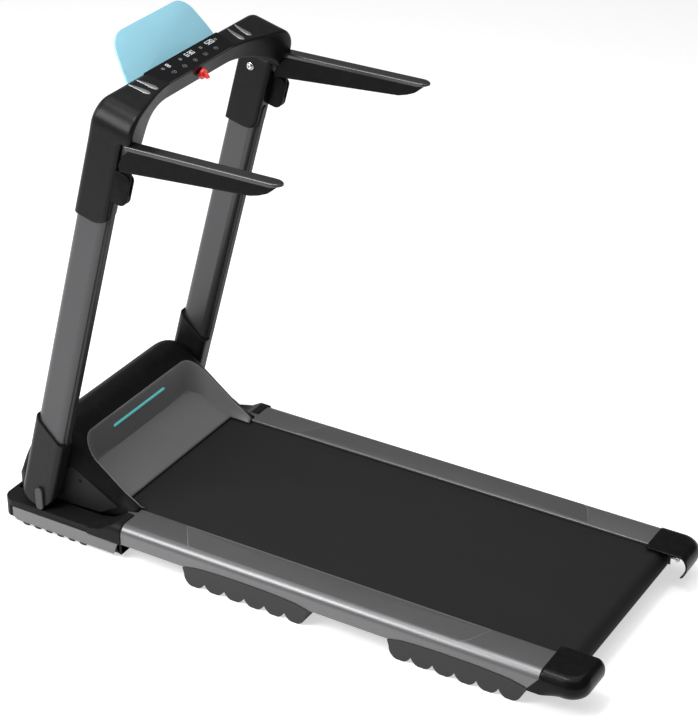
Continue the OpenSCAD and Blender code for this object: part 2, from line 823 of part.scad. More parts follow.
// Scalloped rubber foot: six round lobes under a block with bevelled ends
module foot_outline(y0, top) {
    first = (foot_l - (lobe_n - 1) * lobe_pitch) / 2 + 1;
    difference() {
        union() {
            polygon([
                [y0, top], [y0 + 6, lobe_pitch * 0.4], [y0 + foot_l - 6, lobe_pitch * 0.4], [y0 + foot_l, top]
            ]);
            for (k = [0 : lobe_n - 1]) translate([y0 + first + k * lobe_pitch, lobe_r - lobe_flat])
                circle(lobe_r);
        }
        rect(y0 - 5, top, y0 + foot_l + 5, top + 60);
        rect(y0 - 5, -10, y0 + foot_l + 5, 0);
    }
}

// Bowed flange of a deck foot that laps up the outside of the rail
module foot_cheek(y0) {
    polygon(concat(
        [[y0 + foot_l - 3, rail_bot_z - 6], [y0 + 3, rail_bot_z - 6]],
        [for (i = [0 : 10]) [y0 + 1 + (foot_l - 2) * i / 10, rail_bot_z + 1 + 11 * pow(sin(18 * i), 0.45)]]
    ));
}

module deck_foot(side, y0) {
    color([0.2, 0.2, 0.2]) on_side(side) {
        along_x(frame_tube_out + 0.5, rail_out + foot_lap) foot_outline(y0, rail_bot_z);
        along_x(rail_out + fit, rail_out + foot_lap) foot_cheek(y0);
        along_x(foot_in, frame_tube_out + 1) foot_outline(y0, frame_bot_z);
    }
}

module foot_mid_left() {
    deck_foot(-1, base_y - 453);
}

module foot_mid_right() {
    deck_foot(1, base_y - 453);
}

module foot_rear_left() {
    deck_foot(-1, deck_y + 26);
}

module foot_rear_right() {
    deck_foot(1, deck_y + 26);
}

// Row of small domes under each side of the base
module base_foot(side) {
    y0 = base_y + 92;
    color([0.12, 0.12, 0.12]) on_side(side) intersection() {
        along_x(base_out - 42, base_out - 3) union() {
            for (k = [0 : lobe_n - 1]) translate([y0 + 10 + k * bump_pitch, bump_r - lobe_flat]) circle(bump_r);
            rect(y0, 8, y0 + 20 + (lobe_n - 1) * bump_pitch, tray_z + 2);
        }
        translate([0, base_y, 0]) cube([rail_out + 20, base_l, tray_z]);
    }
}

module foot_base_left() {
    base_foot(-1);
}

module foot_base_right() {
    base_foot(1);
}

// ---------- mast ----------

module pivot_pins() {
    color("silver") translate([0, pivot_y, pivot_z]) for (side = [-1, 1]) on_side(side) {
        rod_x(plate_in, tube_out - 2, pin_r - run_fit);
        rod_x(plate_in - weld, plate_out, pin_r + pin_seat - weld);
    }
}

module upright(side) {
    on_side(side) mast() difference() {
        translate([tube_x, 0, -upright_foot]) linear_extrude(upright_top + upright_foot) oval(tube_w, tube_d);
        translate([tube_x, 0, -upright_foot - 1]) linear_extrude(upright_top + upright_foot + 2)
            oval(tube_w - 6, tube_d - 6);
        rod_x(tube_in - 1, tube_out + 1, pin_r);
        // Flat seat for the cover strip at the rear
        translate([tube_x - spine_w / 2 - 0.2, -tube_d / 2 - 1, spine_low - 0.2])
            cube([spine_w + 0.4, 2.2, spine_end - spine_low + 0.4]);
    }
}

module upright_left() {
    color([0.33, 0.33, 0.34]) upright(-1);
}

module upright_right() {
    color([0.33, 0.33, 0.34]) upright(1);
}

// Cover strip with round ends on the rear of each upright
module spine(side) {
    y1 = -tube_d / 2 + 1.2;
    on_side(side) mast() along_y(y1 - spine_d, y1)
        translate([tube_x, 0]) {
            rect(-spine_w / 2, spine_low + spine_w / 2, spine_w / 2, spine_end - spine_w / 2);
            for (z = [spine_low, spine_end - spine_w]) translate([0, z + spine_w / 2]) circle(spine_w / 2);
        }
}

module spine_left() {
    color([0.16, 0.16, 0.16]) spine(-1);
}

module spine_right() {
    color([0.16, 0.16, 0.16]) spine(1);
}

// Shoe around the foot of each upright, round about the fold pivot, with a slanting top edge
module boot(side) {
    on_side(side) mast() difference() {
        intersection() {
            along_x(boot_in, boot_out) union() {
                circle(boot_r);
                polygon([[-boot_r, 0], [boot_r, 0], [boot_r, boot_l + boot_slant / 2], [-boot_r, boot_rear_l]]);
            }
            translate([0, 0, -boot_r - 1]) linear_extrude(boot_l + boot_slant + boot_r)
                round_rect(boot_in, -boot_r, boot_out, boot_r, 14);
        }
        translate([tube_x, 0, -upright_foot - 1]) linear_extrude(boot_l * 2)
            oval(tube_w + 2 * fit, tube_d + 2 * fit);
        rod_x(boot_in - 1, tube_out - 1, pin_r + 1);
        translate([0, latch_y, latch_u]) rod_x(tube_out, boot_out + 1, latch_pin_r);
    }
}

module boot_left() {
    color([0.08, 0.08, 0.08]) boot(-1);
}

module boot_right() {
    color([0.08, 0.08, 0.08]) boot(1);
}

// Fold lock levers: pill-shaped, on the outer face of each boot
module latch(side) {
    on_side(side) mast() translate([0, latch_y, latch_u]) rotate([-lean_deg, 0, 0]) {
        along_x(boot_out + 0.3, boot_out + 7) union() {
            rect(-9, -34, 9, 0);
            for (z = [0, -34]) translate([0, z]) circle(9);
        }
        rod_x(tube_out + 1, boot_out + 0.3 + weld, latch_pin_r - run_fit);
    }
}

module latch_left() {
    color([0.18, 0.18, 0.18]) latch(-1);
}

module latch_right() {
    color([0.18, 0.18, 0.18]) latch(1);
}

// ---------- console ----------

// Front view of the console: an arch on two sleeves
module arch_outline() {
    difference() {
        union() {
            rect(-sleeve_out, sleeve_bot, sleeve_out, mast_l - elbow_r);
            rect(-sleeve_out + elbow_r, sleeve_bot, sleeve_out - elbow_r, mast_l);
            for (side = [-1, 1]) translate([side * (sleeve_out - elbow_r), mast_l - elbow_r]) circle(elbow_r);
        }
        rect(-sleeve_in, sleeve_bot - 1, sleeve_in, mast_l - bar_t - arch_r);
        rect(-sleeve_in + arch_r, sleeve_bot - 1, sleeve_in - arch_r, mast_l - bar_t);
        for (side = [-1, 1]) translate([side * (sleeve_in - arch_r), mast_l - bar_t - arch_r]) circle(arch_r);
    }
}

// Side view: sleeve and flared elbow, with a lip over the handrail's root
module console_side() {
    polygon([
        [-sleeve_d, sleeve_bot], [sleeve_d, sleeve_bot], [sleeve_d, mast_l - 22], [bar_back, mast_l],
        [bar_front, mast_l], [-sleeve_d - 5, mast_l - 28], [-lip_d, arm_top_u(-lip_d) + gap],
        [-sleeve_d, arm_top_u(-sleeve_d) + gap]
    ]);
}

// Side view of the thinner bar between the elbows
module bar_side() {
    polygon([
        [bar_front, mast_l - bar_t - 30], [bar_back, mast_l - bar_t - 30], [bar_back, mast_l],
        [bar_front, mast_l]
    ]);
}

module console_shell() {
    wing = sleeve_in - 60;
    color([0.07, 0.07, 0.07]) mast() difference() {
        union() {
            intersection() {
                along_y(-lip_d - 1, sleeve_d + 1) intersection() {
                    arch_outline();
                    union() {
                        rect(-sleeve_out, sleeve_bot, -wing, mast_l);
                        rect(wing, sleeve_bot, sleeve_out, mast_l);
                    }
                }
                along_x(-sleeve_out, sleeve_out) console_side();
            }
            intersection() {
                along_y(bar_front, bar_back) arch_outline();
                along_x(-wing - 1, wing + 1) bar_side();
            }
        }
        for (side = [-1, 1]) on_side(side) {
            // Seat of the upright tube
            translate([tube_x, 0, sleeve_bot - 1]) linear_extrude(upright_top - sleeve_bot + 2)
                oval(tube_w + 2 * fit, tube_d + 2 * fit);
            // Slot for the cover strip's upper end
            translate([tube_x - spine_w / 2 - 1, -tube_d / 2 - 8, sleeve_bot - 1])
                cube([spine_w + 2, 10, spine_end - sleeve_bot + 3]);
            translate([0, 5, bolt_u]) rod_x(sleeve_in - 1, tube_in + 1, 4 + run_fit);
        }
        // Seat of the display panel
        translate([0, 0, mast_l - panel_t]) linear_extrude(panel_t + 1) panel_plan(0.2);
        // Seat of the safety key
        translate([0, bar_front, mast_l - 20]) rod_y(-1, 14, 6.3);
        // Slot of the tablet board
        tablet_slot();
    }
}

// Plan of the display panel: long straight sides, bowed ends, grown by g
module panel_plan(g) {
    y0 = bar_front + 1 - g;
    y1 = bar_front + 1 + panel_d + g;
    bow = 10;
    polygon(concat(
        [for (i = [0 : 8]) [panel_half_l - bow + bow * sin(i * 11.25) + g, y0 + (y1 - y0) * i / 8]],
        [for (i = [8 : -1 : 0]) [-panel_half_l + bow - bow * sin(i * 11.25) - g, y0 + (y1 - y0) * i / 8]]
    ));
}

module display_panel() {
    color([0.03, 0.03, 0.04]) mast() translate([0, 0, mast_l - panel_t]) linear_extrude(panel_t + 0.6) panel_plan(0);
}

// Leaf-shaped inlays beside the display: round towards the runner, pointed at the back
module console_inlays() {
    color("silver") mast() for (side = [-1, 1]) on_side(side)
        for (k = [0, 1]) translate([panel_half_l + 25 + leaf_pitch * k, bar_front + 2, mast_l])
            linear_extrude(1) union() {
                translate([0, leaf_r]) circle(leaf_r);
                polygon([[-leaf_r, leaf_r], [leaf_r, leaf_r], [1, leaf_l], [-1, leaf_l]]);
            }
}

module sleeve_bolts() {
    color("silver") mast() for (side = [-1, 1]) on_side(side)
        translate([0, 5, bolt_u]) difference() {
            union() {
                rod_x(sleeve_in - 3, sleeve_in, 7);
                rod_x(sleeve_in - weld, tube_in, 4);
            }
            translate([sleeve_in - 4, 0, 0]) rotate([0, 90, 0]) cylinder(h = 3, r = 3, $fn = 6);
        }
}

// ---------- handrails ----------

module arm_pin_frame() {
    translate([0, arm_pin_wy, arm_pin_z]) children();
}

// Clevis behind each sleeve: two cheeks joined by a web, with the pin through them
module arm_bracket(side) {
    low = arm_pin_u - bracket_l;
    color([0.06, 0.06, 0.06]) on_side(side) mast() {
        difference() {
            along_x(bracket_in, bracket_out) intersection() {
                union() {
                    rect(bracket_back, low + 16, -sleeve_d, arm_pin_u);
                    rect(bracket_back + 16, low, -sleeve_d, arm_pin_u + bracket_r - 3);
                    translate([bracket_back + 16, low + 16]) circle(16);
                    translate([arm_pin_y, arm_pin_u]) circle(bracket_r);
                }
                rect(bracket_back, low, -sleeve_d, arm_pin_u + bracket_r);
            }
            translate([bracket_in + cheek_t, bracket_back - 1, arm_pin_u - bracket_l / 2])
                cube([bracket_out - bracket_in - 2 * cheek_t, 40, bracket_l]);
        }
        translate([0, arm_pin_y, arm_pin_u]) rod_x(bracket_in, bracket_out, arm_pin_r);
    }
}

module arm_bracket_left() {
    arm_bracket(-1);
}

module arm_bracket_right() {
    arm_bracket(1);
}

// Side view of a handrail from its pin: root against the sleeve, tapering to the tip
module arm_side() {
    polygon([
        [10, arm_heel], [-5, arm_heel + arm_h - strip_t], [-arm_l + 14, arm_heel + arm_h - strip_t],
        [-arm_l + 24, arm_heel + 38], [-arm_l + 40, arm_heel + 28], [-arm_l + 66, arm_heel + 20]
    ]);
}

module arm(side) {
    ear_in = bracket_in + cheek_t + 0.4;
    ear_out = bracket_out - cheek_t - 0.4;
    color([0.06, 0.06, 0.06]) on_side(side) arm_pin_frame() difference() {
        union() {
            along_x(arm_in, arm_out - 1) arm_side();
            along_x(ear_in, ear_out) union() {
                circle(knuckle_r);
                polygon([[-knuckle_r, 0], [7, 0], [7, arm_heel + 2], [-knuckle_r - 6, arm_heel + 4]]);
            }
        }
        rod_x(ear_in - 1, ear_out + 1, arm_pin_r + run_fit);
    }
}

module arm_left() {
    arm(-1);
}

module arm_right() {
    arm(1);
}

// Long top strip of a handrail, running past the body at a rounded tip
module arm_cap(side) {
    color([0.05, 0.05, 0.05]) on_side(side) arm_pin_frame()
        translate([0, 0, arm_heel + arm_h - strip_t]) linear_extrude(strip_t) union() {
            rect(arm_in, -arm_l + arm_w / 2, arm_out, -7);
            intersection() {
                translate([(arm_in + arm_out) / 2, -arm_l + arm_w / 2]) circle(arm_w / 2);
                rect(arm_in, -arm_l, arm_out, 0);
            }
        }
}

module arm_cap_left() {
    arm_cap(-1);
}

module arm_cap_right() {
    arm_cap(1);
}

// ---------- loose pieces on the console ----------

// Frame of the tablet board: its Z runs up the board
module tablet_frame() {
    mast() translate([0, bar_back - 6, mast_l - 37]) rotate([-tablet_tilt, 0, 0]) children();
}

module tablet_slot() {
    translate([0, bar_back - 6, mast_l - 37]) rotate([-tablet_tilt, 0, 0])
        translate([-tablet_half_w - 0.3, -tablet_t / 2 - 0.3, -0.3])
            cube([2 * tablet_half_w + 0.6, tablet_t + 0.6, 60]);
}

module tablet_board() {
    top_w = tablet_half_w - 30;
    r = 46;
    color([0.55, 0.8, 0.89]) tablet_frame() along_y(-tablet_t / 2, tablet_t / 2) union() {
        polygon([
            [-tablet_half_w, 0], [tablet_half_w, 0], [tablet_half_w - 8, 46], [top_w, tablet_l - r],
            [-top_w, tablet_l - r], [8 - tablet_half_w, 46]
        ]);
        rect(-top_w + r, tablet_l - r - 1, top_w - r, tablet_l);
        for (side = [-1, 1]) translate([side * (top_w - r), tablet_l - r]) circle(r);
    }
}

module safety_key() {
    color([0.9, 0.15, 0.13]) mast() translate([0, bar_front, mast_l - 20]) {
        rod_y(0.3 - 8, 12, 6);
        rod_y(-8, -1, 11);
        along_x(-2, 2) polygon([[-7, -4], [-16, -6], [-22, 0], [-16, 5], [-7, 6]]);
    }
}

deck_frame();
base_frame();
base_platform();
skirt_left();
skirt_right();
hood_cover();
hood_pan();
light_bar();
gusset_left();
gusset_right();
rail_left();
rail_right();
grip_left();
grip_right();
cap_left();
cap_right();
deck_board();
deck_cushions();
running_belt();
roller_axles();
tension_bolts();
roller_front();
roller_pulley();
roller_rear();
drive_motor();
motor_rotor();
drive_belt();
controller();
power_panel();
switch_rocker();
wheel_axles();
wheel_left();
wheel_right();
foot_base_left();
foot_base_right();
foot_mid_left();
foot_mid_right();
foot_rear_left();
foot_rear_right();
pivot_pins();
upright_left();
upright_right();
spine_left();
spine_right();
boot_left();
boot_right();
console_shell();
display_panel();
console_inlays();
sleeve_bolts();
arm_bracket_left();
arm_bracket_right();
arm_left();
arm_right();
arm_cap_left();
arm_cap_right();
tablet_board();
safety_key();
latch_left();
latch_right();
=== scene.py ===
import json
import math
import bmesh
import bpy
import numpy as np
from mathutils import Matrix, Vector

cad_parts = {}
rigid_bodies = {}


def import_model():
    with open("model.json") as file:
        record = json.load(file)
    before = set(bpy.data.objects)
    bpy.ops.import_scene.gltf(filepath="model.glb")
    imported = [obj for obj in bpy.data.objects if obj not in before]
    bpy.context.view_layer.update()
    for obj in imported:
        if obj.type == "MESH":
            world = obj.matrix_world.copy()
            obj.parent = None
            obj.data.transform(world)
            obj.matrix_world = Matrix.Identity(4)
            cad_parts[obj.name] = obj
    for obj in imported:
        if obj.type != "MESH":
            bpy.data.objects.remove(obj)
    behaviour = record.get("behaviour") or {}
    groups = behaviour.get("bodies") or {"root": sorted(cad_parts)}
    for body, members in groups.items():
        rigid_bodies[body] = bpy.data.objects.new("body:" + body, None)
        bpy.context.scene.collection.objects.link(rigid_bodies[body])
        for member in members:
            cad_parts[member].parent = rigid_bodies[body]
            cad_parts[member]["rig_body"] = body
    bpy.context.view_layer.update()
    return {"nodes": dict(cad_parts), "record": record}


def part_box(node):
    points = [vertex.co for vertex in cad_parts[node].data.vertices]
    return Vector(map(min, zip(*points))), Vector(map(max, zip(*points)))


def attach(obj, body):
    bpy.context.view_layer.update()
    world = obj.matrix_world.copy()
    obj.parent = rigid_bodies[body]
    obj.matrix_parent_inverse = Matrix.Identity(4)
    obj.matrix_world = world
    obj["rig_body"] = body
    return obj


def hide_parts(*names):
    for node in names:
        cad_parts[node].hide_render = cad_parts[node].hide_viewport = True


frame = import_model()
nodes = frame["nodes"]
print("frame loaded:", len(nodes), "nodes")

mm = 0.001
joints = {joint["name"]: joint for joint in frame["record"]["behaviour"]["joints"]}
pivot = joints["mast_fold"]["pos_m"]
armPin = joints["arm_fold_left"]["pos_m"]
lean = math.radians(15)                 # the uprights' lean
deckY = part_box("rail_left")[0].y        # rear end of the side rails
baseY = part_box("base_platform")[0].y    # rear edge of the base
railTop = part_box("rail_left")[1].z


# Shader sums: a socket wrapped so that + - * and ** work on it
class Value:
    def __init__(self, finish, socket):
        self.finish, self.socket = finish, socket

    def sum(self, operation, a, b):
        return self.finish.add("ShaderNodeMath", {"operation": operation}, {0: a, 1: b})

    def __add__(self, other):
        return self.sum("ADD", self, other)

    def __sub__(self, other):
        return self.sum("SUBTRACT", self, other)

    def __rsub__(self, other):
        return self.sum("SUBTRACT", other, self)

    def __mul__(self, other):
        return self.sum("MULTIPLY", self, other)

    def __pow__(self, other):
        return self.sum("POWER", self, other)

    __radd__ = __add__
    __rmul__ = __mul__


class Finish:
    def __init__(self, name):
        self.material = bpy.data.materials.new(name)
        self.material.use_nodes = True
        self.tree = self.material.node_tree
        self.tree.nodes.clear()
        self.output = self.tree.nodes.new("ShaderNodeOutputMaterial")
        self.coords = self.add("ShaderNodeTexCoord", {}, {}, "Object")

    def add(self, kind, settings, inputs, out=0):
        node = self.tree.nodes.new(kind)
        for key, value in settings.items():
            if key == "stops":
                ramp = node.color_ramp
                while len(ramp.elements) < len(value):
                    ramp.elements.new(0.5)
                for element, (place, colour) in zip(ramp.elements, value):
                    element.position, element.color = place, (*colour, 1)
            else:
                setattr(node, key, value)
        for key, value in inputs.items():
            if isinstance(value, Value):
                self.tree.links.new(value.socket, node.inputs[key])
            else:
                node.inputs[key].default_value = value
        return Value(self, node.outputs[out])

    def noise(self, scale, detail=3.0, stretch=(1, 1, 1)):
        place = self.add("ShaderNodeMapping", {}, {"Vector": self.coords, "Scale": stretch})
        inputs = {"Vector": place, "Scale": scale, "Detail": detail, "Roughness": 0.55}
        return self.add("ShaderNodeTexNoise", {}, inputs, "Fac")

    def cells(self, scale):
        return self.add("ShaderNodeTexVoronoi", {}, {"Vector": self.coords, "Scale": scale}, "Distance")

    # Two sets of straight waves, turned either way, multiplied into small diamonds
    def diamonds(self, scale, turn):
        waves = []
        for angle in (turn, -turn):
            place = self.add("ShaderNodeMapping", {}, {"Vector": self.coords, "Rotation": (0, 0, angle)})
            inputs = {"Vector": place, "Scale": scale}
            waves.append(self.add("ShaderNodeTexWave", {"wave_type": "BANDS"}, inputs, "Fac"))
        return waves[0] * waves[1]

    def blend(self, mask, a, b):
        return self.add("ShaderNodeMix", {"data_type": "RGBA"}, {0: mask, 6: a, 7: b}, 2)

    def bump(self, height, depth, strength=1.0):
        inputs = {"Height": height, "Distance": depth, "Strength": strength}
        return self.add("ShaderNodeBump", {}, inputs)

    def surface(self, **inputs):
        sockets = {key.replace("_", " "): value for key, value in inputs.items()}
        shader = self.add("ShaderNodeBsdfPrincipled", {}, sockets)
        self.tree.links.new(shader.socket, self.output.inputs["Surface"])
        return self.material


def shade(colour, factor):
    return (*[min(1.0, c * factor) for c in colour], 1)


# Moulded plastic: spark-eroded grain from two cell sizes, faint cloudiness in colour and gloss, dust in
# the hollows
def mouldedPlastic(name, colour, rough=0.42, grain=0.00006, scale=1400, cloud=0.16, specular=0.4):
    f = Finish(name)
    cloudiness = f.noise(9, 4)
    fine = f.cells(scale)
    coarse = f.noise(scale * 0.4, 2)
    dust = f.noise(60, 5) ** 4
    base = f.blend(cloudiness, shade(colour, 1 - cloud), shade(colour, 1 + cloud))
    base = f.blend(dust * 0.25, base, shade([c + 0.04 for c in colour], 1))
    return f.surface(Base_Color=base, Roughness=rough - 0.06 + cloudiness * 0.12 + dust * 0.15,
                     Normal=f.bump(fine + coarse * 0.7, grain), Specular_IOR_Level=specular)


# Powder coat: orange-peel waves under a satin skin, with fine flakes
def powderCoat(name, colour, rough=0.36, metallic=0.25, scale=420):
    f = Finish(name)
    peel = f.noise(scale, 2)
    flake = f.cells(scale * 5)
    cloudiness = f.noise(5, 3, (1, 1, 0.4))
    base = f.blend(cloudiness, shade(colour, 0.9), shade(colour, 1.1))
    base = f.blend(flake ** 3, base, shade(colour, 1.7))
    return f.surface(Base_Color=base, Roughness=rough - 0.05 + cloudiness * 0.1, Metallic=metallic,
                     Normal=f.bump(peel, 0.00012, 0.6), Specular_IOR_Level=0.5)


# Rubber: matt, speckled, with a slight bloom
def softRubber(name, colour, rough=0.72, depth=0.00015, scale=600):
    f = Finish(name)
    bloom = f.noise(22, 5)
    pores = f.noise(scale, 3)
    base = f.blend(bloom, shade(colour, 0.8), shade(colour, 1.3))
    return f.surface(Base_Color=base, Roughness=rough - 0.08 + bloom * 0.16,
                     Normal=f.bump(pores, depth), Specular_IOR_Level=0.35)


# Turned or brushed metal: long scratches across the axis
def turnedMetal(name, colour, rough=0.28, stretch=(400, 6, 6)):
    f = Finish(name)
    lines = f.noise(1.0, 4, stretch)
    stain = f.noise(25, 4)
    base = f.blend(stain, shade(colour, 0.82), shade(colour, 1.1))
    return f.surface(Base_Color=base, Metallic=1.0, Roughness=rough - 0.06 + lines * 0.14 + stain * 0.08,
                     Normal=f.bump(lines, 0.00003, 0.5))


# Running belt: diamond grain from two crossed waves, with scuffs along the middle of the run
def beltWeave(name, colour):
    f = Finish(name)
    diamond = f.diamonds(130, 0.62)
    scuff = f.noise(14, 5, (1, 0.25, 1))
    fluff = f.noise(240, 3)
    base = f.blend(scuff, shade(colour, 0.86), shade(colour, 1.16))
    base = f.blend(fluff ** 6, base, shade(colour, 2.2))
    return f.surface(Base_Color=base, Roughness=0.66 + scuff * 0.12, Specular_IOR_Level=0.12,
                     Normal=f.bump(diamond + fluff * 0.4, 0.00022, 0.8))


# Grip strip: rows of small raised diamonds
def gripPattern(name, colour):
    f = Finish(name)
    knurl = f.diamonds(95, 0.785) ** 0.6
    cloudiness = f.noise(12, 4)
    base = f.blend(cloudiness, shade(colour, 0.9), shade(colour, 1.12))
    base = f.blend(knurl * 0.35, base, shade(colour, 1.35))
    return f.surface(Base_Color=base, Roughness=0.5 + cloudiness * 0.12, Specular_IOR_Level=0.4,
                     Normal=f.bump(knurl, 0.0003, 0.7))


# Wood fibre board: stretched rings and pores
def fibreBoard(name, colour):
    f = Finish(name)
    rings = f.noise(18, 5, (6, 0.5, 6))
    pores = f.noise(500, 2)
    base = f.blend(rings, shade(colour, 0.7), shade(colour, 1.25))
    return f.surface(Base_Color=base, Roughness=0.55 + pores * 0.15,
                     Normal=f.bump(rings + pores, 0.0002, 0.6))


# Gloss skin: deep colour under a clear coat, with faint wipe marks
def glossSkin(name, colour, rough=0.12, glow=None, specular=0.5, cloud=0.06):
    f = Finish(name)
    wipe = f.noise(16, 4, (1, 3, 1))
    smear = f.noise(90, 3)
    base = f.blend(wipe, shade(colour, 1 - cloud), shade(colour, 1 + cloud))
    inputs = dict(Base_Color=base, Roughness=rough + wipe * 0.08 + smear * 0.03, Specular_IOR_Level=specular,
                  Normal=f.bump(smear, 0.00002, 0.3))
    if glow:
        inputs["Emission_Color"] = f.blend(smear, shade(glow[0], 0.92), shade(glow[0], 1.05))
        inputs["Emission_Strength"] = glow[1]
    return f.surface(**inputs)


# Circuit board: green lacquer with tracks and pads
def circuitBoard(name, colour):
    f = Finish(name)
    tracks = f.add("ShaderNodeTexBrick", {}, {"Vector": f.coords, "Scale": 60, "Mortar Size": 0.06}, "Fac")
    haze = f.noise(30, 3)
    base = f.blend(tracks, shade(colour, 1), shade([0.12, 0.3, 0.12], 1))
    return f.surface(Base_Color=base, Roughness=0.3 + haze * 0.2, Normal=f.bump(tracks, 0.0001, 0.5))


finishes = dict(
    frame_steel=powderCoat("frameSteel", (0.02, 0.02, 0.022), 0.45),
    base_black=mouldedPlastic("baseBlack", (0.0062, 0.0062, 0.0064), 0.46, 0.00005, 1500, specular=0.1),
    skirt_grey=mouldedPlastic("skirtGrey", (0.125, 0.125, 0.127), 0.42, 0.00004, 1600, 0.08),
    hood_black=mouldedPlastic("hoodBlack", (0.0036, 0.0036, 0.0038), 0.46, 0.00004, 1500, specular=0.06),
    pan_grey=mouldedPlastic("panGrey", (0.108, 0.108, 0.109), 0.5, 0.00007, 1100, 0.07),
    light_lens=glossSkin("lightLens", (0.10, 0.45, 0.45), 0.3, ((0.1, 0.5, 0.5), 0.3)),
    gusset_black=mouldedPlastic("gussetBlack", (0.0105, 0.0105, 0.011), 0.46, 0.00005, 1100, specular=0.12),
    rail_grey=powderCoat("railGrey", (0.125, 0.125, 0.128), 0.36, 0.7, 520),
    grip_rubber=gripPattern("gripRubber", (0.05, 0.05, 0.051)),
    cap_black=mouldedPlastic("capBlack", (0.0028, 0.0028, 0.003), 0.24, 0.00001, 1500, specular=0.12),
    board_wood=fibreBoard("boardWood", (0.32, 0.2, 0.11)),
    cushion_rubber=softRubber("cushionRubber", (0.02, 0.02, 0.02)),
    belt_fabric=beltWeave("beltFabric", (0.012, 0.012, 0.0122)),
    bright_steel=turnedMetal("brightSteel", (0.62, 0.62, 0.61)),
    bolt_steel=turnedMetal("boltSteel", (0.66, 0.66, 0.66), 0.2, (60, 60, 60)),
    roller_steel=turnedMetal("rollerSteel", (0.55, 0.55, 0.56), 0.32),
    pulley_plastic=mouldedPlastic("pulleyPlastic", (0.04, 0.04, 0.042), 0.4),
    motor_paint=powderCoat("motorPaint", (0.025, 0.025, 0.028), 0.35),
    drive_rubber=softRubber("driveRubber", (0.012, 0.012, 0.012)),
    board_green=circuitBoard("boardGreen", (0.02, 0.1, 0.045)),
    panel_black=mouldedPlastic("panelBlack", (0.012, 0.012, 0.013), 0.45),
    switch_red=glossSkin("switchRed", (0.42, 0.015, 0.012), 0.28),
    wheel_rubber=softRubber("wheelRubber", (0.02, 0.02, 0.021)),
    foot_rubber=softRubber("footRubber", (0.024, 0.024, 0.0245), 0.66, 0.0002, 500),
    upright_paint=powderCoat("uprightPaint", (0.05, 0.05, 0.052), 0.32, 0.6, 480),
    spine_plastic=mouldedPlastic("spinePlastic", (0.018, 0.018, 0.019), 0.45, specular=0.15),
    boot_black=mouldedPlastic("bootBlack", (0.0072, 0.0072, 0.0075), 0.34, 0.00005, 1300, specular=0.16),
    console_black=mouldedPlastic("consoleBlack", (0.0042, 0.0042, 0.0044), 0.3, 0.00002, 1700, specular=0.13),
    display_gloss=glossSkin("displayGloss", (0.0035, 0.0035, 0.004), 0.12, specular=0.12),
    inlay_silver=turnedMetal("inlaySilver", (0.3, 0.3, 0.3), 0.34, (300, 20, 20)),
    arm_black=mouldedPlastic("armBlack", (0.0036, 0.0036, 0.0038), 0.4, 0.00004, 1200, specular=0.06),
    arm_strip=mouldedPlastic("armStrip", (0.0045, 0.0045, 0.0047), 0.2, 0.00001, 1500, specular=0.75),
    tablet_clear=glossSkin("tabletClear", (0.22, 0.44, 0.53), 0.4, specular=0.15, cloud=0.02),
    key_red=glossSkin("keyRed", (0.72, 0.025, 0.018), 0.25),
    latch_black=mouldedPlastic("latchBlack", (0.03, 0.03, 0.031), 0.45),
    digit_white=glossSkin("digitWhite", (0.5, 0.52, 0.54), 0.3, ((0.8, 0.86, 0.9), 0.6)),
    icon_grey=glossSkin("iconGrey", (0.3, 0.31, 0.32), 0.3, ((0.5, 0.53, 0.55), 0.12)),
)
slotOf = {s["node"]: s["material_slot"] for s in frame["record"]["subparts"]}
for name, node in nodes.items():
    node.data.materials.clear()
    node.data.materials.append(finishes[slotOf[name]])
print("finishes:", len(finishes))


# A mesh gets its finish, its body and the nodes that it stands for
def dress(name, mesh, finish, body, replaced=(), sharp=38):
    mesh.materials.clear()
    mesh.materials.append(finishes[finish])
    mesh.shade_smooth()
    mesh.set_sharp_from_angle(angle=math.radians(sharp))
    piece = bpy.data.objects.new(name, mesh)
    bpy.context.scene.collection.objects.link(piece)
    if replaced:
        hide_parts(*replaced)
    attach(piece, body)
    return piece


# A grid of points [row, column] joined by quads; wrapped rows close round, capped ends close on their
# middle point
def gridMesh(name, grid, wrap=True, capped=True, outward=True):
    rows, columns = grid.shape[:2]
    index = np.arange(rows * columns).reshape(rows, columns)
    if wrap:
        index = np.concatenate([index, index[:, :1]], axis=1)
    a, b, c, d = index[:-1, :-1], index[:-1, 1:], index[1:, 1:], index[1:, :-1]
    faces = np.stack([a, b, c, d], axis=-1).reshape(-1, 4).tolist()
    points = grid.reshape(-1, 3)
    if capped:
        points = np.concatenate([points, grid[0].mean(0)[None], grid[-1].mean(0)[None]])
        first, last = len(points) - 2, len(points) - 1
        ends = ((index[0, 1:], index[0, :-1], first), (index[-1, :-1], index[-1, 1:], last))
        for one, two, hub in ends:
            faces += np.stack([one, two, np.full(len(one), hub)], axis=-1).tolist()
    mesh = bpy.data.meshes.new(name)
    mesh.from_pydata(points.tolist(), [], faces)
    if outward:
        shell = bmesh.new()
        shell.from_mesh(mesh)
        bmesh.ops.remove_doubles(shell, verts=shell.verts, dist=1e-7)
        bmesh.ops.recalc_face_normals(shell, faces=shell.faces)
        shell.to_mesh(mesh)
        shell.free()
    return mesh


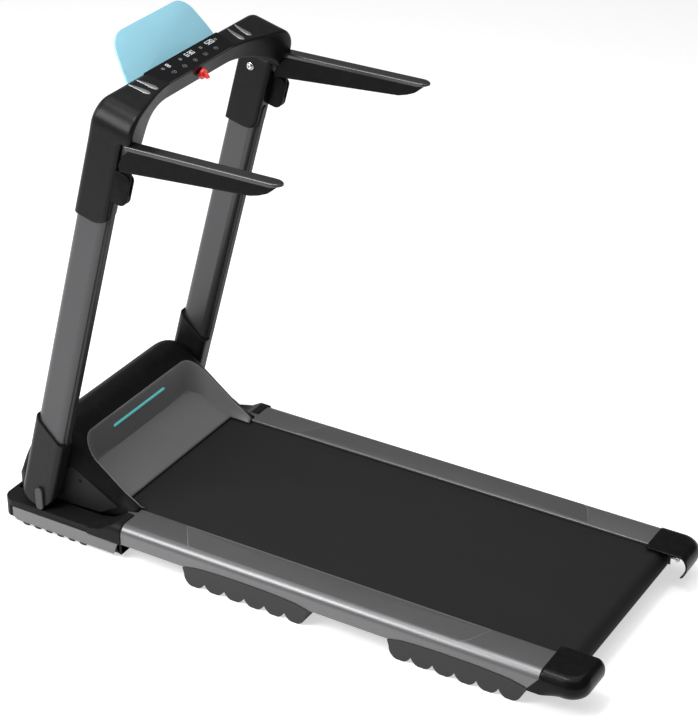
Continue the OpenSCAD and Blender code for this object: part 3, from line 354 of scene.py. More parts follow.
# Rounded rectangle from (a0, b0) to (a1, b1): quarter circles of radius r at its corners, with a point a
# little before and after each, as a closed loop. a0.. may be arrays with one value a section. A corner
# takes at most the given share of the shorter side.
def roundSection(a0, a1, b0, b1, radii, steps=6, guard=1.5 * mm, share=0.46):
    a0, a1, b0, b1 = [np.asarray(v, float).reshape(-1, 1) for v in np.broadcast_arrays(a0, a1, b0, b1)]
    turn = np.linspace(0, math.pi / 2, steps)
    columns = []
    limit = np.minimum(abs(a1 - a0), abs(b1 - b0)) * share
    corners = [(a1, b0, 1, -1), (a1, b1, 1, 1), (a0, b1, -1, 1), (a0, b0, -1, -1)]
    for k, (a, b, sa, sb) in enumerate(corners):
        r = np.minimum(np.asarray(radii[k], float).reshape(-1, 1) * np.ones_like(a0), limit)
        swing = turn if k % 2 else turn[::-1]
        ca, cb = a - sa * r, b - sb * r
        arcA, arcB = ca + sa * r * np.cos(swing), cb + sb * r * np.sin(swing)
        pad = np.minimum(guard, limit * 0.2)
        if k % 2:
            before, after = (a, cb - sb * pad), (ca - sa * pad, b)
        else:
            before, after = (ca - sa * pad, b), (a, cb - sb * pad)
        columns += [np.stack([before[0] + 0 * a0, before[1] + 0 * a0], -1),
                    np.stack([arcA, arcB], -1),
                    np.stack([after[0] + 0 * a0, after[1] + 0 * a0], -1)]
    return np.concatenate(columns, axis=1)


# Mast frame to world: turned by the lean about the fold pivot
def fromMast(x, y, u):
    return np.stack([x + 0 * y, pivot[1] + y * math.cos(lean) - u * math.sin(lean),
                     pivot[2] + y * math.sin(lean) + u * math.cos(lean)], axis=-1)


# Closed outline: a polygon whose corner k is cut by a circle of radius radii[k] that touches both its sides
def roundedLoop(corners, radii, steps=8):
    corners = np.asarray(corners, float)
    loop = []
    for k, r in enumerate(radii):
        a, b = corners[k - 1] - corners[k], corners[(k + 1) % len(corners)] - corners[k]
        a, b = a / np.linalg.norm(a), b / np.linalg.norm(b)
        half = math.acos(a @ b) / 2
        centre = corners[k] + (a + b) / np.linalg.norm(a + b) * r / math.sin(half)
        start, end = [corners[k] + v * r / math.tan(half) - centre for v in (a, b)]
        sweep = math.pi - 2 * half
        t = np.linspace(0, sweep, steps)[:, None]
        loop.append(centre + (np.sin(sweep - t) * start + np.sin(t) * end) / math.sin(sweep))
    return np.concatenate(loop)


# Plate: an outline carried from one height to another, its top edge eased in by a quarter circle
def slab(name, loop, low, high, edge, place, steps=4):
    ahead = np.roll(loop, -1, 0)
    along = ahead - np.roll(loop, 1, 0)
    along /= np.linalg.norm(along, axis=1)[:, None]
    area = np.sum(loop[:, 0] * ahead[:, 1] - ahead[:, 0] * loop[:, 1])
    inward = np.stack([-along[:, 1], along[:, 0]], -1) * np.sign(area)
    turn = np.linspace(0, math.pi / 2, steps)
    rows = [(0, low)] + [(edge * (1 - math.cos(a)), high - edge * (1 - math.sin(a))) for a in turn]
    flat = [(loop + inward * inset, height) for inset, height in rows]
    return gridMesh(name, np.stack([place(p[:, 0], p[:, 1], height + 0 * p[:, 0]) for p, height in flat]))


# One mesh from several
def joined(name, meshes):
    shell = bmesh.new()
    for mesh in meshes:
        shell.from_mesh(mesh)
    whole = bpy.data.meshes.new(name)
    shell.to_mesh(whole)
    shell.free()
    return whole


# A copy of a CAD node with its loose triangles merged and its sharp edges rounded
def softened(node, width, segments=2, sharp=32):
    mesh = nodes[node].data.copy()
    mesh.name = node + "Soft"
    shell = bmesh.new()
    shell.from_mesh(mesh)
    bmesh.ops.remove_doubles(shell, verts=shell.verts, dist=2e-6)
    bmesh.ops.dissolve_limit(shell, angle_limit=math.radians(1), verts=shell.verts, edges=shell.edges)
    shell.to_mesh(mesh)
    shell.free()
    body = nodes[node]["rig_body"]
    piece = dress(node + "Soft", mesh, slotOf[node], body, (node,), sharp=sharp)
    bevel = piece.modifiers.new("edges", "BEVEL")
    bevel.width, bevel.segments, bevel.limit_method = width, segments, "ANGLE"
    bevel.angle_limit = math.radians(sharp)
    bevel.use_clamp_overlap = False
    bevel.harden_normals = True
    return piece


belt = dict(edge=0.7 * mm, thick=1.6 * mm, turns=28)


# Running belt: a flat section carried along two half circles round the rollers and the straight runs between
def runningBelt():
    low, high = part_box("running_belt")
    thick, radius, middle = belt["thick"], (high.z - low.z) / 2, (high.z + low.z) / 2
    angle = np.linspace(math.pi / 2, 3 * math.pi / 2, belt["turns"])
    outY = np.concatenate([np.cos(angle), -np.cos(angle)])
    outZ = np.concatenate([np.sin(angle), -np.sin(angle)])
    loopY = np.repeat([low.y + radius, high.y - radius], belt["turns"]) + (radius - thick / 2) * outY
    loopZ = middle + (radius - thick / 2) * outZ
    section = roundSection(low.x, high.x, -thick / 2, thick / 2, [belt["edge"]] * 4, 4)[0]
    across, out = section[None, :, 0], section[None, :, 1]
    grid = np.stack([across + 0 * loopY[:, None], loopY[:, None] + outY[:, None] * out,
                     loopZ[:, None] + outZ[:, None] * out], axis=-1)
    grid = np.concatenate([grid, grid[:1]])
    mesh = gridMesh("runningBelt", grid, capped=False)
    dress("runningBelt", mesh, "belt_fabric", "frame", ("running_belt",))


runningBelt()
print("belt made")


rail = dict(inner=210 * mm, width=80 * mm, shoulder=21 * mm, bottom=39 * mm, wall=3 * mm, lip=1.5 * mm,
            lipDrop=4.5 * mm, underBase=19 * mm, gripInner=214.5 * mm, gripOuter=274 * mm,
            gripRear=(138 * mm, 168 * mm), gripFront=(116 * mm, 160 * mm),
            gripRounds=(2.5 * mm, 24 * mm, 14 * mm, 2.5 * mm), seal=1.3 * mm)


# Outline of a rail from its inner lip over the top, round the shoulder, down the skirt and back underneath
def railOutline():
    inner, outer, wall = rail["inner"], rail["inner"] + rail["width"], rail["wall"]
    r, lip, lipFoot, foot = rail["shoulder"], rail["lip"], railTop - rail["lipDrop"], rail["bottom"]
    turn, curl = np.linspace(math.pi / 2, 0, 20), np.linspace(math.pi, math.pi / 2, 5)
    cx, cz = outer - r, railTop - r
    x = np.concatenate([[inner], inner + lip * (1 + np.cos(curl)), [cx - 2 * mm], cx + r * np.cos(turn),
                        [outer, outer, outer - 1 * mm, outer - wall, outer - wall, cx, inner + 0.5 * mm]])
    z = np.concatenate([[lipFoot], railTop - lip + lip * np.sin(curl), [railTop], cz + r * np.sin(turn),
                        [cz - 2 * mm, foot + 1 * mm, foot, foot, cz, lipFoot, lipFoot]])
    return x, z


# Plate on a rail's top with slanting ends, grown all round; heights are taken from the top
def gripSlab(name, side, grow, low, high, edge, finish, replaced=()):
    inner, outer = rail["gripInner"] - grow, rail["gripOuter"] + grow
    rear, front = rail["gripRear"], rail["gripFront"]
    corners = [(inner, deckY + rear[0] - grow), (outer, deckY + rear[1] - grow),
               (outer, baseY - front[1] + grow), (inner, baseY - front[0] + grow)]
    loop = roundedLoop(corners, rail["gripRounds"], 10)
    mesh = slab(name, loop, railTop + low, railTop + high, edge,
                lambda a, b, c: np.stack([side * a, b, c], -1))
    dress(name, mesh, finish, "frame", replaced)


# Side rail: its outline carried from the deck's rear end to under the base; the grip strip is its own plate
# inside a thin bead, whose light grey skirt finish is a painted highlight along the grip's raised edge
def sideRail(side):
    word = "Left" if side < 0 else "Right"
    x, z = railOutline()
    y = np.array([deckY, deckY + 1 * mm, *np.linspace(deckY + 30 * mm, baseY, 24), baseY + rail["underBase"]])
    grid = np.stack([side * x[None] + 0 * y[:, None], y[:, None] + 0 * x[None], z[None] + 0 * y[:, None]], -1)
    mesh = gridMesh("sideRail" + word, grid)
    dress("sideRail" + word, mesh, "rail_grey", "frame", ("rail_" + word.lower(),))
    # painted highlight: the bead round the grip plate takes the light grey skirt finish to stand for the
    # light caught by its raised edge
    gripSlab("gripSeal" + word, side, rail["seal"], -0.8 * mm, 0.42 * mm, 0.4 * mm, "skirt_grey")
    gripSlab("gripPlate" + word, side, 0, -0.5 * mm, 0.5 * mm, 0.5 * mm, "grip_rubber",
             ("grip_" + word.lower(),))


for side in (-1, 1):
    sideRail(side)
print("rails made")


cap = dict(corner=40 * mm, shoulder=22 * mm, wall=2.6 * mm, rearRound=17 * mm, waist=60 * mm, lower=-1.25,
           under=27 * mm, ahead=24 * mm, aheadRise=8 * mm, aheadRun=30 * mm, tighten=0.35, flare=1.9)


# Rear cap: a shell over the top, the rear and the outer side, open to the belt and to the rail. Its plan line
# runs from the inner rear corner along the rear, round the corner and forward, pulled in above and below its
# waist along two quarter ellipses; the top is closed by shrinking that line onto its inner front corner
def rearCap(side):
    word = "Left" if side < 0 else "Right"
    low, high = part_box("cap_" + word.lower())
    inner, outer, top = (-high.x, -low.x, high.z) if side < 0 else (low.x, high.x, high.z)
    bend = np.linspace(-math.pi / 2, 0, 16)
    rows = []
    for a in np.linspace(cap["lower"], math.pi / 2, 26):
        inset = cap["shoulder"] * (1 - math.cos(a))
        z = cap["waist"] + math.sin(a) * (top - cap["waist"] if a > 0 else cap["under"])
        r = cap["corner"] - inset * cap["tighten"]
        x1, y0 = outer - inset, low.y + inset * cap["rearRound"] / cap["shoulder"]
        regain = (inset if a < 0 else 0) * np.clip(np.linspace(0, cap["flare"], 10), 0, 1)
        x = np.concatenate([np.linspace(inner, x1 - r, 12, endpoint=False), x1 - r + r * np.cos(bend),
                            x1 + regain])
        lowered = np.clip((cap["waist"] + cap["aheadRise"] - z) / cap["aheadRun"], 0, 1)
        ahead = high.y + cap["ahead"] * lowered
        y = np.concatenate([np.full(12, y0), y0 + r + r * np.sin(bend), np.linspace(y0 + r, ahead, 11)[1:]])
        rows.append(np.stack([side * x, y, np.full_like(x, z)], -1))
    hub = np.array([side * inner, high.y, top])
    last = rows[-1]
    rows += [last + (hub - last) * t for t in np.linspace(0, 1, 8)[1:]]
    mesh = gridMesh("rearCap" + word, np.stack(rows), wrap=False, capped=False)
    # faces must look away from the middle of the box
    mesh.update()
    middle = (low + high) / 2
    if sum((face.center - middle).dot(face.normal) * face.area for face in mesh.polygons) < 0:
        mesh.flip_normals()
    piece = dress("rearCap" + word, mesh, "cap_black", "frame", ("cap_" + word.lower(),), sharp=50)
    wall = piece.modifiers.new("wall", "SOLIDIFY")
    wall.thickness, wall.offset = cap["wall"], -1


for side in (-1, 1):
    rearCap(side)
print("caps made")


# Corners hold a section's four radii at the sleeve, in mm, and how much each changes by the bar
console = dict(sleeveIn=243 * mm, sleeveOut=284 * mm, depth=38.5 * mm, bottom=695 * mm, top=943 * mm,
               elbow=44 * mm, foot=22 * mm, bend=856 * mm, bar=41 * mm, rear=-18 * mm, front=40 * mm,
               lip=58 * mm, lipFoot=888 * mm, lipStep=0.004, meet=100 * mm, upPull=25 * mm, barPull=185 * mm,
               faceLean=4 * mm, corners=((9, -5), (14, 0), (7, 2), (8, -3)))


# Stations from the left sleeve's foot to the right one's: outer point, inner point, rear and front depth, and
# how far round the elbow. The outer line is straight, then a quarter circle, then straight; the inner one is
# a cubic curve; the runner's side flares back to a lip over the handrail's root
def consoleStations():
    c = console
    u = np.concatenate([c["bottom"] + c["foot"] * (1 - np.cos(np.linspace(0, math.pi / 2, 8))),
                        np.linspace(c["bottom"] + c["foot"] + 6 * mm, c["bend"], 10)[:-1]])
    curl = np.clip(c["bottom"] + c["foot"] - u, 0, c["foot"])
    back = -c["depth"] + c["foot"] - np.sqrt(c["foot"] ** 2 - curl ** 2)
    sleeve = np.stack([c["sleeveOut"] + 0 * u, u, c["sleeveIn"] + 0 * u, u, back, c["depth"] + 0 * u,
                       0 * u], -1)
    rise = c["top"] - c["elbow"] - c["bend"]
    arc, flat = c["elbow"] * math.pi / 2, c["sleeveOut"] - c["elbow"] - c["meet"]
    whole = rise + arc + flat
    lipAt = (rise + c["elbow"] * math.asin((c["lipFoot"] - c["top"] + c["elbow"]) / c["elbow"])) / whole
    t = np.concatenate([np.linspace(0, lipAt, 6)[:-1], [lipAt - c["lipStep"], lipAt],
                        np.linspace(lipAt, 1, 42)[1:]])
    a = np.clip(t * whole - rise, 0, arc) / c["elbow"]
    outX = c["sleeveOut"] - c["elbow"] * (1 - np.cos(a)) - np.clip(t * whole - rise - arc, 0, None)
    outU = c["bend"] + np.clip(t * whole, 0, rise) + c["elbow"] * np.sin(a)
    under = c["top"] - c["bar"]
    pulls = np.array([(c["sleeveIn"], c["bend"]), (c["sleeveIn"], c["bend"] + c["upPull"]),
                      (c["barPull"], under), (c["meet"], under)])
    weights = np.stack([(1 - t) ** 3, 3 * t * (1 - t) ** 2, 3 * t * t * (1 - t), t ** 3], -1)
    inner = weights @ pulls
    ease = np.clip((t - lipAt) / (1 - lipAt), 0, 1)
    ease = ease * ease * (3 - 2 * ease)
    eBack = np.where(t < lipAt, -c["depth"], -c["lip"] + (c["lip"] + c["rear"]) * ease)
    eFront = c["depth"] + (c["front"] - c["depth"]) * ease
    elbow = np.stack([outX, outU, inner[:, 0], inner[:, 1], eBack, eFront, ease], -1)
    bx = np.linspace(c["meet"], 0, 6)[1:]
    flats = [0 * bx + v for v in (c["top"], under, c["rear"], c["front"], 1)]
    bar = np.stack([bx, flats[0], bx, *flats[1:]], -1)
    half = np.concatenate([sleeve, elbow, bar])
    other = half[::-1][1:].copy()
    other[:, [0, 2]] *= -1
    return np.concatenate([half, other])


# Console: an arch from sleeve to sleeve, each section a rounded rectangle between its inner and outer points
def consoleShell():
    stations = consoleStations()
    out, inn = stations[:, 0:2], stations[:, 2:4]
    back, fore, ease = stations[:, 4:7].T
    span = np.linalg.norm(out - inn, axis=1)
    radii = [(start + change * ease) * mm for start, change in console["corners"]]
    section = roundSection(0 * span, span, back, fore, radii, 7)
    along = section[:, :, 0] / span[:, None]
    plane = inn[:, None, :] + (out - inn)[:, None, :] * along[:, :, None]
    depth = section[:, :, 1]
    # the runner's face leans: its lower edge stands a little forward of the top one
    depth = depth + (1 - along) * ease[:, None] * console["faceLean"] * (depth < 0)
    grid = fromMast(plane[:, :, 0], depth, plane[:, :, 1])
    mesh = gridMesh("consoleShell", grid)
    dress("consoleShell", mesh, "console_black", "mast", ("console_shell",), sharp=50)


consoleShell()
print("console made")


# Places of figures, marks and touch keys along the panel are in mm
display = dict(u=943.75 * mm, row=24 * mm, touchRow=0 * mm, figure=(6.2 * mm, 10.6 * mm), stroke=0.7 * mm,
               figureGap=2.4 * mm, colonGap=1.6 * mm, figureDrop=8 * mm, markDrop=7, ring=(5 * mm, 4 * mm),
               dash=(0.6 * mm, 0.25 * mm), keyBar=(1.6 * mm, 0.3 * mm),
               texts=((-66, "8"), (-3, "6:30"), (68, "520")), marks=(-84, -26, 44, 96),
               markParts=((0, 0, 6, 0.5), (0, 5.5, 6, 0.5), (0, 0, 0.5, 6), (5.5, 0, 0.5, 6),
                          (2.7, 2, 0.6, 2.5)),
               touches=(-72, -36, 0, 36, 72))
segments = {"8": "abcdefg", "6": "acdefg", "3": "abcdg", "0": "abcdef", "5": "acdfg", "2": "abdeg"}


# Flat boxes on the display, one for each rectangle (x0, y0, x1, y1), as one mesh
def bars(name, rects, thickness, finish):
    r = np.array(rects)
    x0, y0, x1, y1 = r.T
    base, top = np.full(len(r), display["u"] - thickness), np.full(len(r), display["u"] + thickness)
    corners = [(x0, y0), (x1, y0), (x1, y1), (x0, y1)]
    points = np.stack([fromMast(x, y, u) for u in (base, top) for x, y in corners], 1)
    order = np.array([[0, 3, 2, 1], [4, 5, 6, 7], [0, 1, 5, 4], [1, 2, 6, 5], [2, 3, 7, 6], [3, 0, 4, 7]])
    faces = (order[None] + 8 * np.arange(len(r))[:, None, None]).reshape(-1, 4)
    mesh = bpy.data.meshes.new(name)
    mesh.from_pydata(points.reshape(-1, 3).tolist(), [], faces.tolist())
    dress(name, mesh, finish, "mast")


# Seven-segment figures, each stroke a thin rectangle; a colon is two dots
def figureBars(text, x, y):
    (w, h), s = display["figure"], display["stroke"]
    place = {"a": (0, h - s, w, h), "d": (0, 0, w, s), "g": (0, h / 2 - s / 2, w, h / 2 + s / 2),
             "f": (0, h / 2, s, h), "b": (w - s, h / 2, w, h), "e": (0, 0, s, h / 2),
             "c": (w - s, 0, w, h / 2)}
    rects = []
    for character in text:
        if character == ":":
            rects += [(x, y + h * k, x + s, y + h * k + s) for k in (0.25, 0.65)]
            x += s + display["colonGap"]
            continue
        rects += [(x + a, y + b, x + c, y + d) for a, b, c, d in (place[p] for p in segments[character])]
        x += w + display["figureGap"]
    return rects


# A small square with a stroke in it for each mark, and a ring of dashes round a bar for each touch key
def markBars():
    rects = []
    for x in display["marks"]:
        for dx, dy, w, h in display["markParts"]:
            left, foot = (x + dx) * mm, display["row"] + (dy - display["markDrop"]) * mm
            rects.append((left, foot, left + w * mm, foot + h * mm))
    for x in display["touches"]:
        (a, b), (w, h) = display["ring"], display["dash"]
        centres = [(x * mm + a * math.cos(turn), display["touchRow"] + b * math.sin(turn))
                   for turn in np.linspace(0, 2 * math.pi, 12, endpoint=False)]
        rects += [(cx - w, cy - h, cx + w, cy + h) for cx, cy in centres]
        w, h = display["keyBar"]
        rects.append((x * mm - w, display["touchRow"] - h, x * mm + w, display["touchRow"] + h))
    return rects


rects = []
for x, text in display["texts"]:
    rects += figureBars(text, x * mm, display["row"] - display["figureDrop"])
bars("displayFigures", rects, 0.15 * mm, "digit_white")
bars("displayMarks", markBars(), 0.12 * mm, "icon_grey")
print("display made")


leaf = dict(places=(149 * mm, 175 * mm), start=-17 * mm, length=47 * mm, width=12.5 * mm, bend=7 * mm,
            blunt=0.24, taper=0.55, sunk=1 * mm, proud=0.7 * mm, edge=0.6 * mm)


# Leaf: its half width follows a quarter ellipse at the blunt end and tapers to a point; its middle line bends
# outward
def leafLoop(x, side):
    t, blunt = np.linspace(0, 1, 26), leaf["blunt"]
    blunted = np.sqrt(np.clip(1 - (1 - t / blunt) ** 2, 0, 1))
    point = np.clip((1 - t) / (1 - blunt), 0, 1) ** leaf["taper"]
    half = leaf["width"] / 2 * np.where(t < blunt, blunted, point)
    middle = x + leaf["bend"] * t ** 2
    y = leaf["start"] + leaf["length"] * t
    outer, inner = [np.stack([side * (middle + half * way), y], -1) for way in (1, -1)]
    return np.concatenate([outer, inner[-2:0:-1]])


def leafInlays():
    low, high = console["top"] - leaf["sunk"], console["top"] + leaf["proud"]
    leaves = [slab("leaf", leafLoop(x, side), low, high, leaf["edge"], fromMast)
              for side in (-1, 1) for x in leaf["places"]]
    dress("leafInlays", joined("leafInlays", leaves), "inlay_silver", "mast", ("console_inlays",), sharp=50)


# Foot is where the board's zero line stands on the mast; half holds its right-hand corners, each with the
# radius that rounds it
tablet = dict(foot=(43.4 * mm, 913.6 * mm), tilt=math.radians(49.9), thick=4 * mm, edge=0.8 * mm,
              half=((153.5, -12, 3), (142, 38, 90), (121, 106.2, 47)))


# Board frame to world: turned forward from the mast by the tilt
def onTablet(a, b, depth):
    sine, cosine = math.sin(tablet["tilt"]), math.cos(tablet["tilt"])
    y, u = tablet["foot"]
    return fromMast(a, y + b * sine - depth * cosine, u + b * cosine + depth * sine)


# Tablet board: a flat plate with rounded corners, the left half a mirror of the right
def tabletBoard():
    right = np.array(tablet["half"]) * mm
    left = right * [-1, 1, 1]
    corners = np.concatenate([left[:1], right, left[:0:-1]])
    loop = roundedLoop(corners[:, :2], corners[:, 2], 12)
    mesh = slab("tabletBoard", loop, -tablet["thick"] / 2, tablet["thick"] / 2, tablet["edge"], onTablet)
    dress("tabletBoard", mesh, "tablet_clear", "tablet", ("tablet_board",), sharp=50)


# Profile: radius and height above the sleeve's inner face, in mm
bolt = dict(y=5 * mm, u=834 * mm, steps=36,
            profile=((8.2, -2), (8.2, 0.9), (7.4, 1.5), (6.6, 1.6), (6.5, 3.2), (5.6, 4.4), (4.2, 4.9),
                     (2.9, 5.0), (2.6, 4.6), (2.6, 2.4)))


# Sleeve bolt: a washer, a domed head and its socket, as a profile turned about the bolt's axis
def sleeveBolt(side):
    turn = np.linspace(0, 2 * math.pi, bolt["steps"], endpoint=False)
    r, h = (np.array(bolt["profile"]).T * mm)[:, :, None]
    grid = fromMast(side * (console["sleeveIn"] - h) + 0 * turn, bolt["y"] + r * np.cos(turn),
                    bolt["u"] + r * np.sin(turn))
    name = "sleeveBolt" + ("Left" if side < 0 else "Right")
    dress(name, gridMesh(name, grid), "bolt_steel", "mast", ("sleeve_bolts",), sharp=40)


leafInlays()
tabletBoard()
for side in (-1, 1):
    sleeveBolt(side)
print("inlays, tablet and bolts made")


# Under: how far along the handrail and how high its underside stands there, in mm
arm = dict(inner=258 * mm, outer=285 * mm, bodyOuter=283.8 * mm, heel=17 * mm, height=58 * mm, strip=9 * mm,
           overlap=0.5 * mm, length=346 * mm, tip=22 * mm, tipRise=3.5 * mm, tipFall=2 * mm, tipPower=2.4,
           rootSlope=2.6, under=((-10, 17), (280, 37.5), (300, 43), (318, 51), (331, 62)))


# Sections carried along a handrail, rearward of its pin
def alongArm(name, side, y, section, finish, node):
    x = side * section[:, :, 0]
    grid = np.stack([x, armPin[1] + y[:, None] + 0 * x, armPin[2] + section[:, :, 1]], -1)
    body = "arm_l" if side < 0 else "arm_r"
    dress(name, gridMesh(name, grid), finish, body, (node,), sharp=40)


# Handrail: a body whose underside rises to the tip and whose root is cut at a slant
def handrailBody(side, word):
    y = np.concatenate([[9, 4], np.linspace(0, -262, 18), np.linspace(-270, -331, 14)]) * mm
    along, height = np.array(arm["under"]).T * mm
    topZ = arm["heel"] + arm["height"] - arm["strip"] + arm["overlap"]
    slant = -5 * mm - y
    top = np.where(slant < 0, topZ + slant * arm["rootSlope"], topZ)
    section = roundSection(arm["inner"] + 0 * y, arm["bodyOuter"] + 0 * y, np.interp(-y, along, height), top,
                           [5 * mm, 1.5 * mm, 1.5 * mm, 5 * mm], 6)
    alongArm("handrail" + word, side, y, section, "arm_black", "arm_" + word.lower())


# Top strip: full width to a round tip whose half width follows a superellipse, thinning at the end
def handrailStrip(side, word):
    swing = 1 - np.sin(np.linspace(0, math.pi / 2, 10))
    y = np.concatenate([np.array([-7.0, *np.linspace(-10, -310, 16)]) * mm,
                        arm["tip"] * swing - arm["length"]])
    s = np.clip((arm["tip"] - arm["length"] - y) / arm["tip"], 0, 1)
    half = (arm["outer"] - arm["inner"]) / 2 * np.sqrt(np.clip(1 - s ** arm["tipPower"], 0.0025, 1))
    middle = (arm["outer"] + arm["inner"]) / 2
    topZ = arm["heel"] + arm["height"]
    section = roundSection(middle - half, middle + half, topZ - arm["strip"] + arm["tipRise"] * s,
                           topZ - arm["tipFall"] * s ** 2, [1.2 * mm, 2.6 * mm, 2.6 * mm, 1.2 * mm], 6,
                           0.8 * mm)
    alongArm("handrailStrip" + word, side, y, section, "arm_strip", "arm_cap_" + word.lower())


for side, word in ((-1, "Left"), (1, "Right")):
    handrailBody(side, word)
    handrailStrip(side, word)
print("handrails made")


bracket = dict(inner=266 * mm, outer=282 * mm, cheek=4 * mm, back=-73 * mm, front=-36 * mm, reach=56 * mm,
               round=13 * mm, footRound=17 * mm, inset=0.6 * mm, knuckle=11 * mm, slack=0.5 * mm)
pinY, pinZ = armPin[1] - pivot[1], armPin[2] - pivot[2]
pinU = pinZ * math.cos(lean) - pinY * math.sin(lean)


# Handrail bracket: two rounded cheeks over a solid foot
def handrailBracket(side, word):
    b = bracket
    low, high, waist = pinU - b["reach"], pinU + b["round"], pinU - b["reach"] / 2
    cheek = roundedLoop([(b["front"], low), (b["front"], high), (b["back"], high), (b["back"], low)],
                        [1 * mm, 1 * mm, b["round"], b["footRound"]], 10)
    back, low = b["back"] + b["inset"], low + 0.5 * mm
    foot = roundedLoop([(b["front"], low), (b["front"], waist), (back, waist), (back, low)],
                       [1 * mm, 1 * mm, 2 * mm, b["footRound"] - 0.5 * mm], 10)
    outward = lambda a, c, x: fromMast(side * x, a, c)
    inward = lambda a, c, x: fromMast(-side * x, a, c)
    parts = [slab("cheek", cheek, b["outer"] - b["cheek"], b["outer"], 1.4 * mm, outward),
             slab("cheek", cheek, -b["inner"] - b["cheek"], -b["inner"], 1.4 * mm, inward),
             slab("foot", foot, b["inner"] + 1 * mm, b["outer"] - 1 * mm, 0.1 * mm, outward)]
    name = "bracket" + word
    dress(name, joined(name, parts), "arm_black", "mast", ("arm_bracket_" + word.lower(),), sharp=45)


# Knuckle: a plate with a half-round foot under the handrail's root, turning between the cheeks
def handrailKnuckle(side, word):
    b, k, top = bracket, bracket["knuckle"], arm["heel"] + 6 * mm
    loop = roundedLoop([(-k, -k), (k, -k), (k, top), (-k, top)], [k * 0.98, k * 0.98, 1 * mm, 1 * mm], 10)
    low, high = b["inner"] + b["cheek"] + b["slack"], b["outer"] - b["cheek"] - b["slack"]
    ear = slab("knuckle" + word, loop, low, high, 0.6 * mm,
               lambda a, c, x: np.stack([side * x, armPin[1] + a, armPin[2] + c], -1))
    dress("knuckle" + word, ear, "arm_black", "arm_l" if side < 0 else "arm_r", sharp=45)


for side, word in ((-1, "Left"), (1, "Right")):
    handrailBracket(side, word)
    handrailKnuckle(side, word)
print("brackets made")


hood = dict(half=236.5 * mm, corner=52 * mm, slopeFoot=84 * mm, foot=54 * mm, crest=(540 * mm, 217 * mm),
            crown=(588 * mm, 266 * mm), nose=(664 * mm, 184 * mm), toe=(679 * mm, 54 * mm), bend=30 * mm,
            cornerShare=0.85, spread=0.8, wall=2.5 * mm, lipDrops=(9 * mm, 2.2 * mm, 0.6 * mm), lipTuck=0.996)
pan = dict(rimHalf=209.5 * mm, corner=46 * mm, rimY=524 * mm, floorHalf=(198 * mm, 189 * mm), floorY=417 * mm,
           floorZ=79 * mm, floorCorner=34 * mm, backY=512 * mm, backZ=131 * mm, rimZ=199 * mm, wall=1.8 * mm,
           lightZ=176 * mm, light=(93 * mm, 3 * mm), crowd=1.7, bow=0.35,
           bead=((-1.2, -3), (-0.8, 0.2), (0, 0.9), (1.0, 0.7), (1.8, -0.4)))


# Height of the hood's middle line: straight slope, then a cubic curve over the crown to the toe
def hoodLine():
    t = np.linspace(0, 1, 200)[:, None]
    p = [np.array(hood[k]) for k in ("crest", "crown", "nose", "toe")]
    curve = (1 - t) ** 3 * p[0] + 3 * t * (1 - t) ** 2 * p[1] + 3 * t * t * (1 - t) * p[2] + t ** 3 * p[3]
    line = np.array([[baseY, hood["slopeFoot"]]])
    return np.concatenate([line, curve])


lineYZ = hoodLine()


# Height of the hood: the middle line's height, less a quarter circle's fall near the side walls
def hoodHeight(x, y):
    top = np.interp(y, lineYZ[:, 0], lineYZ[:, 1])
    r = np.minimum(hood["corner"], np.clip(top - hood["foot"], 1 * mm, None) * hood["cornerShare"])
    over = np.clip(abs(x) - (hood["half"] - r), 0, r)
    return top - (r - np.sqrt(np.clip(r ** 2 - over ** 2, 0, None)))


# A U-shaped plan line of half width w and corner radius r, from the rear left, forward, across and back
def horseshoe(w, r, y0, y1, legs=26, bend=14, across=30):
    left = np.stack([np.full(legs, -w), np.linspace(y0, y1 - r, legs, endpoint=False)], -1)
    a = np.linspace(math.pi, math.pi / 2, bend)
    turnL = np.stack([-w + r + r * np.cos(a), y1 - r + r * np.sin(a)], -1)
    middle = np.stack([np.linspace(-w + r, w - r, across + 2)[1:-1], np.full(across, y1)], -1)
    turnR = turnL[::-1] * [-1, 1]
    right = left[::-1] * [-1, 1]
    return np.concatenate([left, turnL, middle, turnR, right])


# Hood: a height surface over a plan that runs from the pan's rim out to the foot of the walls, with a lip
# turned down inside the rim
def hoodShell():
    rim = horseshoe(pan["rimHalf"], pan["corner"], baseY, pan["rimY"])
    outer = horseshoe(hood["half"], hood["bend"], baseY, hood["toe"][0] - 0.2 * mm)
    w = np.linspace(0, 1, 40) ** hood["spread"]
    plan = rim[None] + (outer - rim)[None] * w[:, None, None]
    z = hoodHeight(plan[:, :, 0], plan[:, :, 1])
    top = np.concatenate([plan, z[:, :, None]], -1)
    lip = top[:1].repeat(3, 0)
    lip[:, :, 2] -= np.array(hood["lipDrops"])[:, None]
    lip[:2, :, 0] *= hood["lipTuck"]
    top[0, :, 2] -= 0.1 * mm
    foot = top[-1:].copy()
    foot[0, :, 2] = hood["foot"]
    mesh = gridMesh("hoodShell", np.concatenate([lip, top, foot]), wrap=False, capped=False, outward=False)
    piece = dress("hoodShell", mesh, "hood_black", "frame", ("hood_cover",), sharp=45)
    wall = piece.modifiers.new("wall", "SOLIDIFY")
    wall.thickness, wall.offset = hood["wall"], -1


# Height of the pan's floor: level, then a straight slope up to the back wall


def panFloorHeight(y):
    slope = (pan["backZ"] - pan["floorZ"]) / (pan["backY"] - pan["floorY"])
    return pan["floorZ"] + slope * (np.clip(y, pan["floorY"], None) - pan["floorY"])


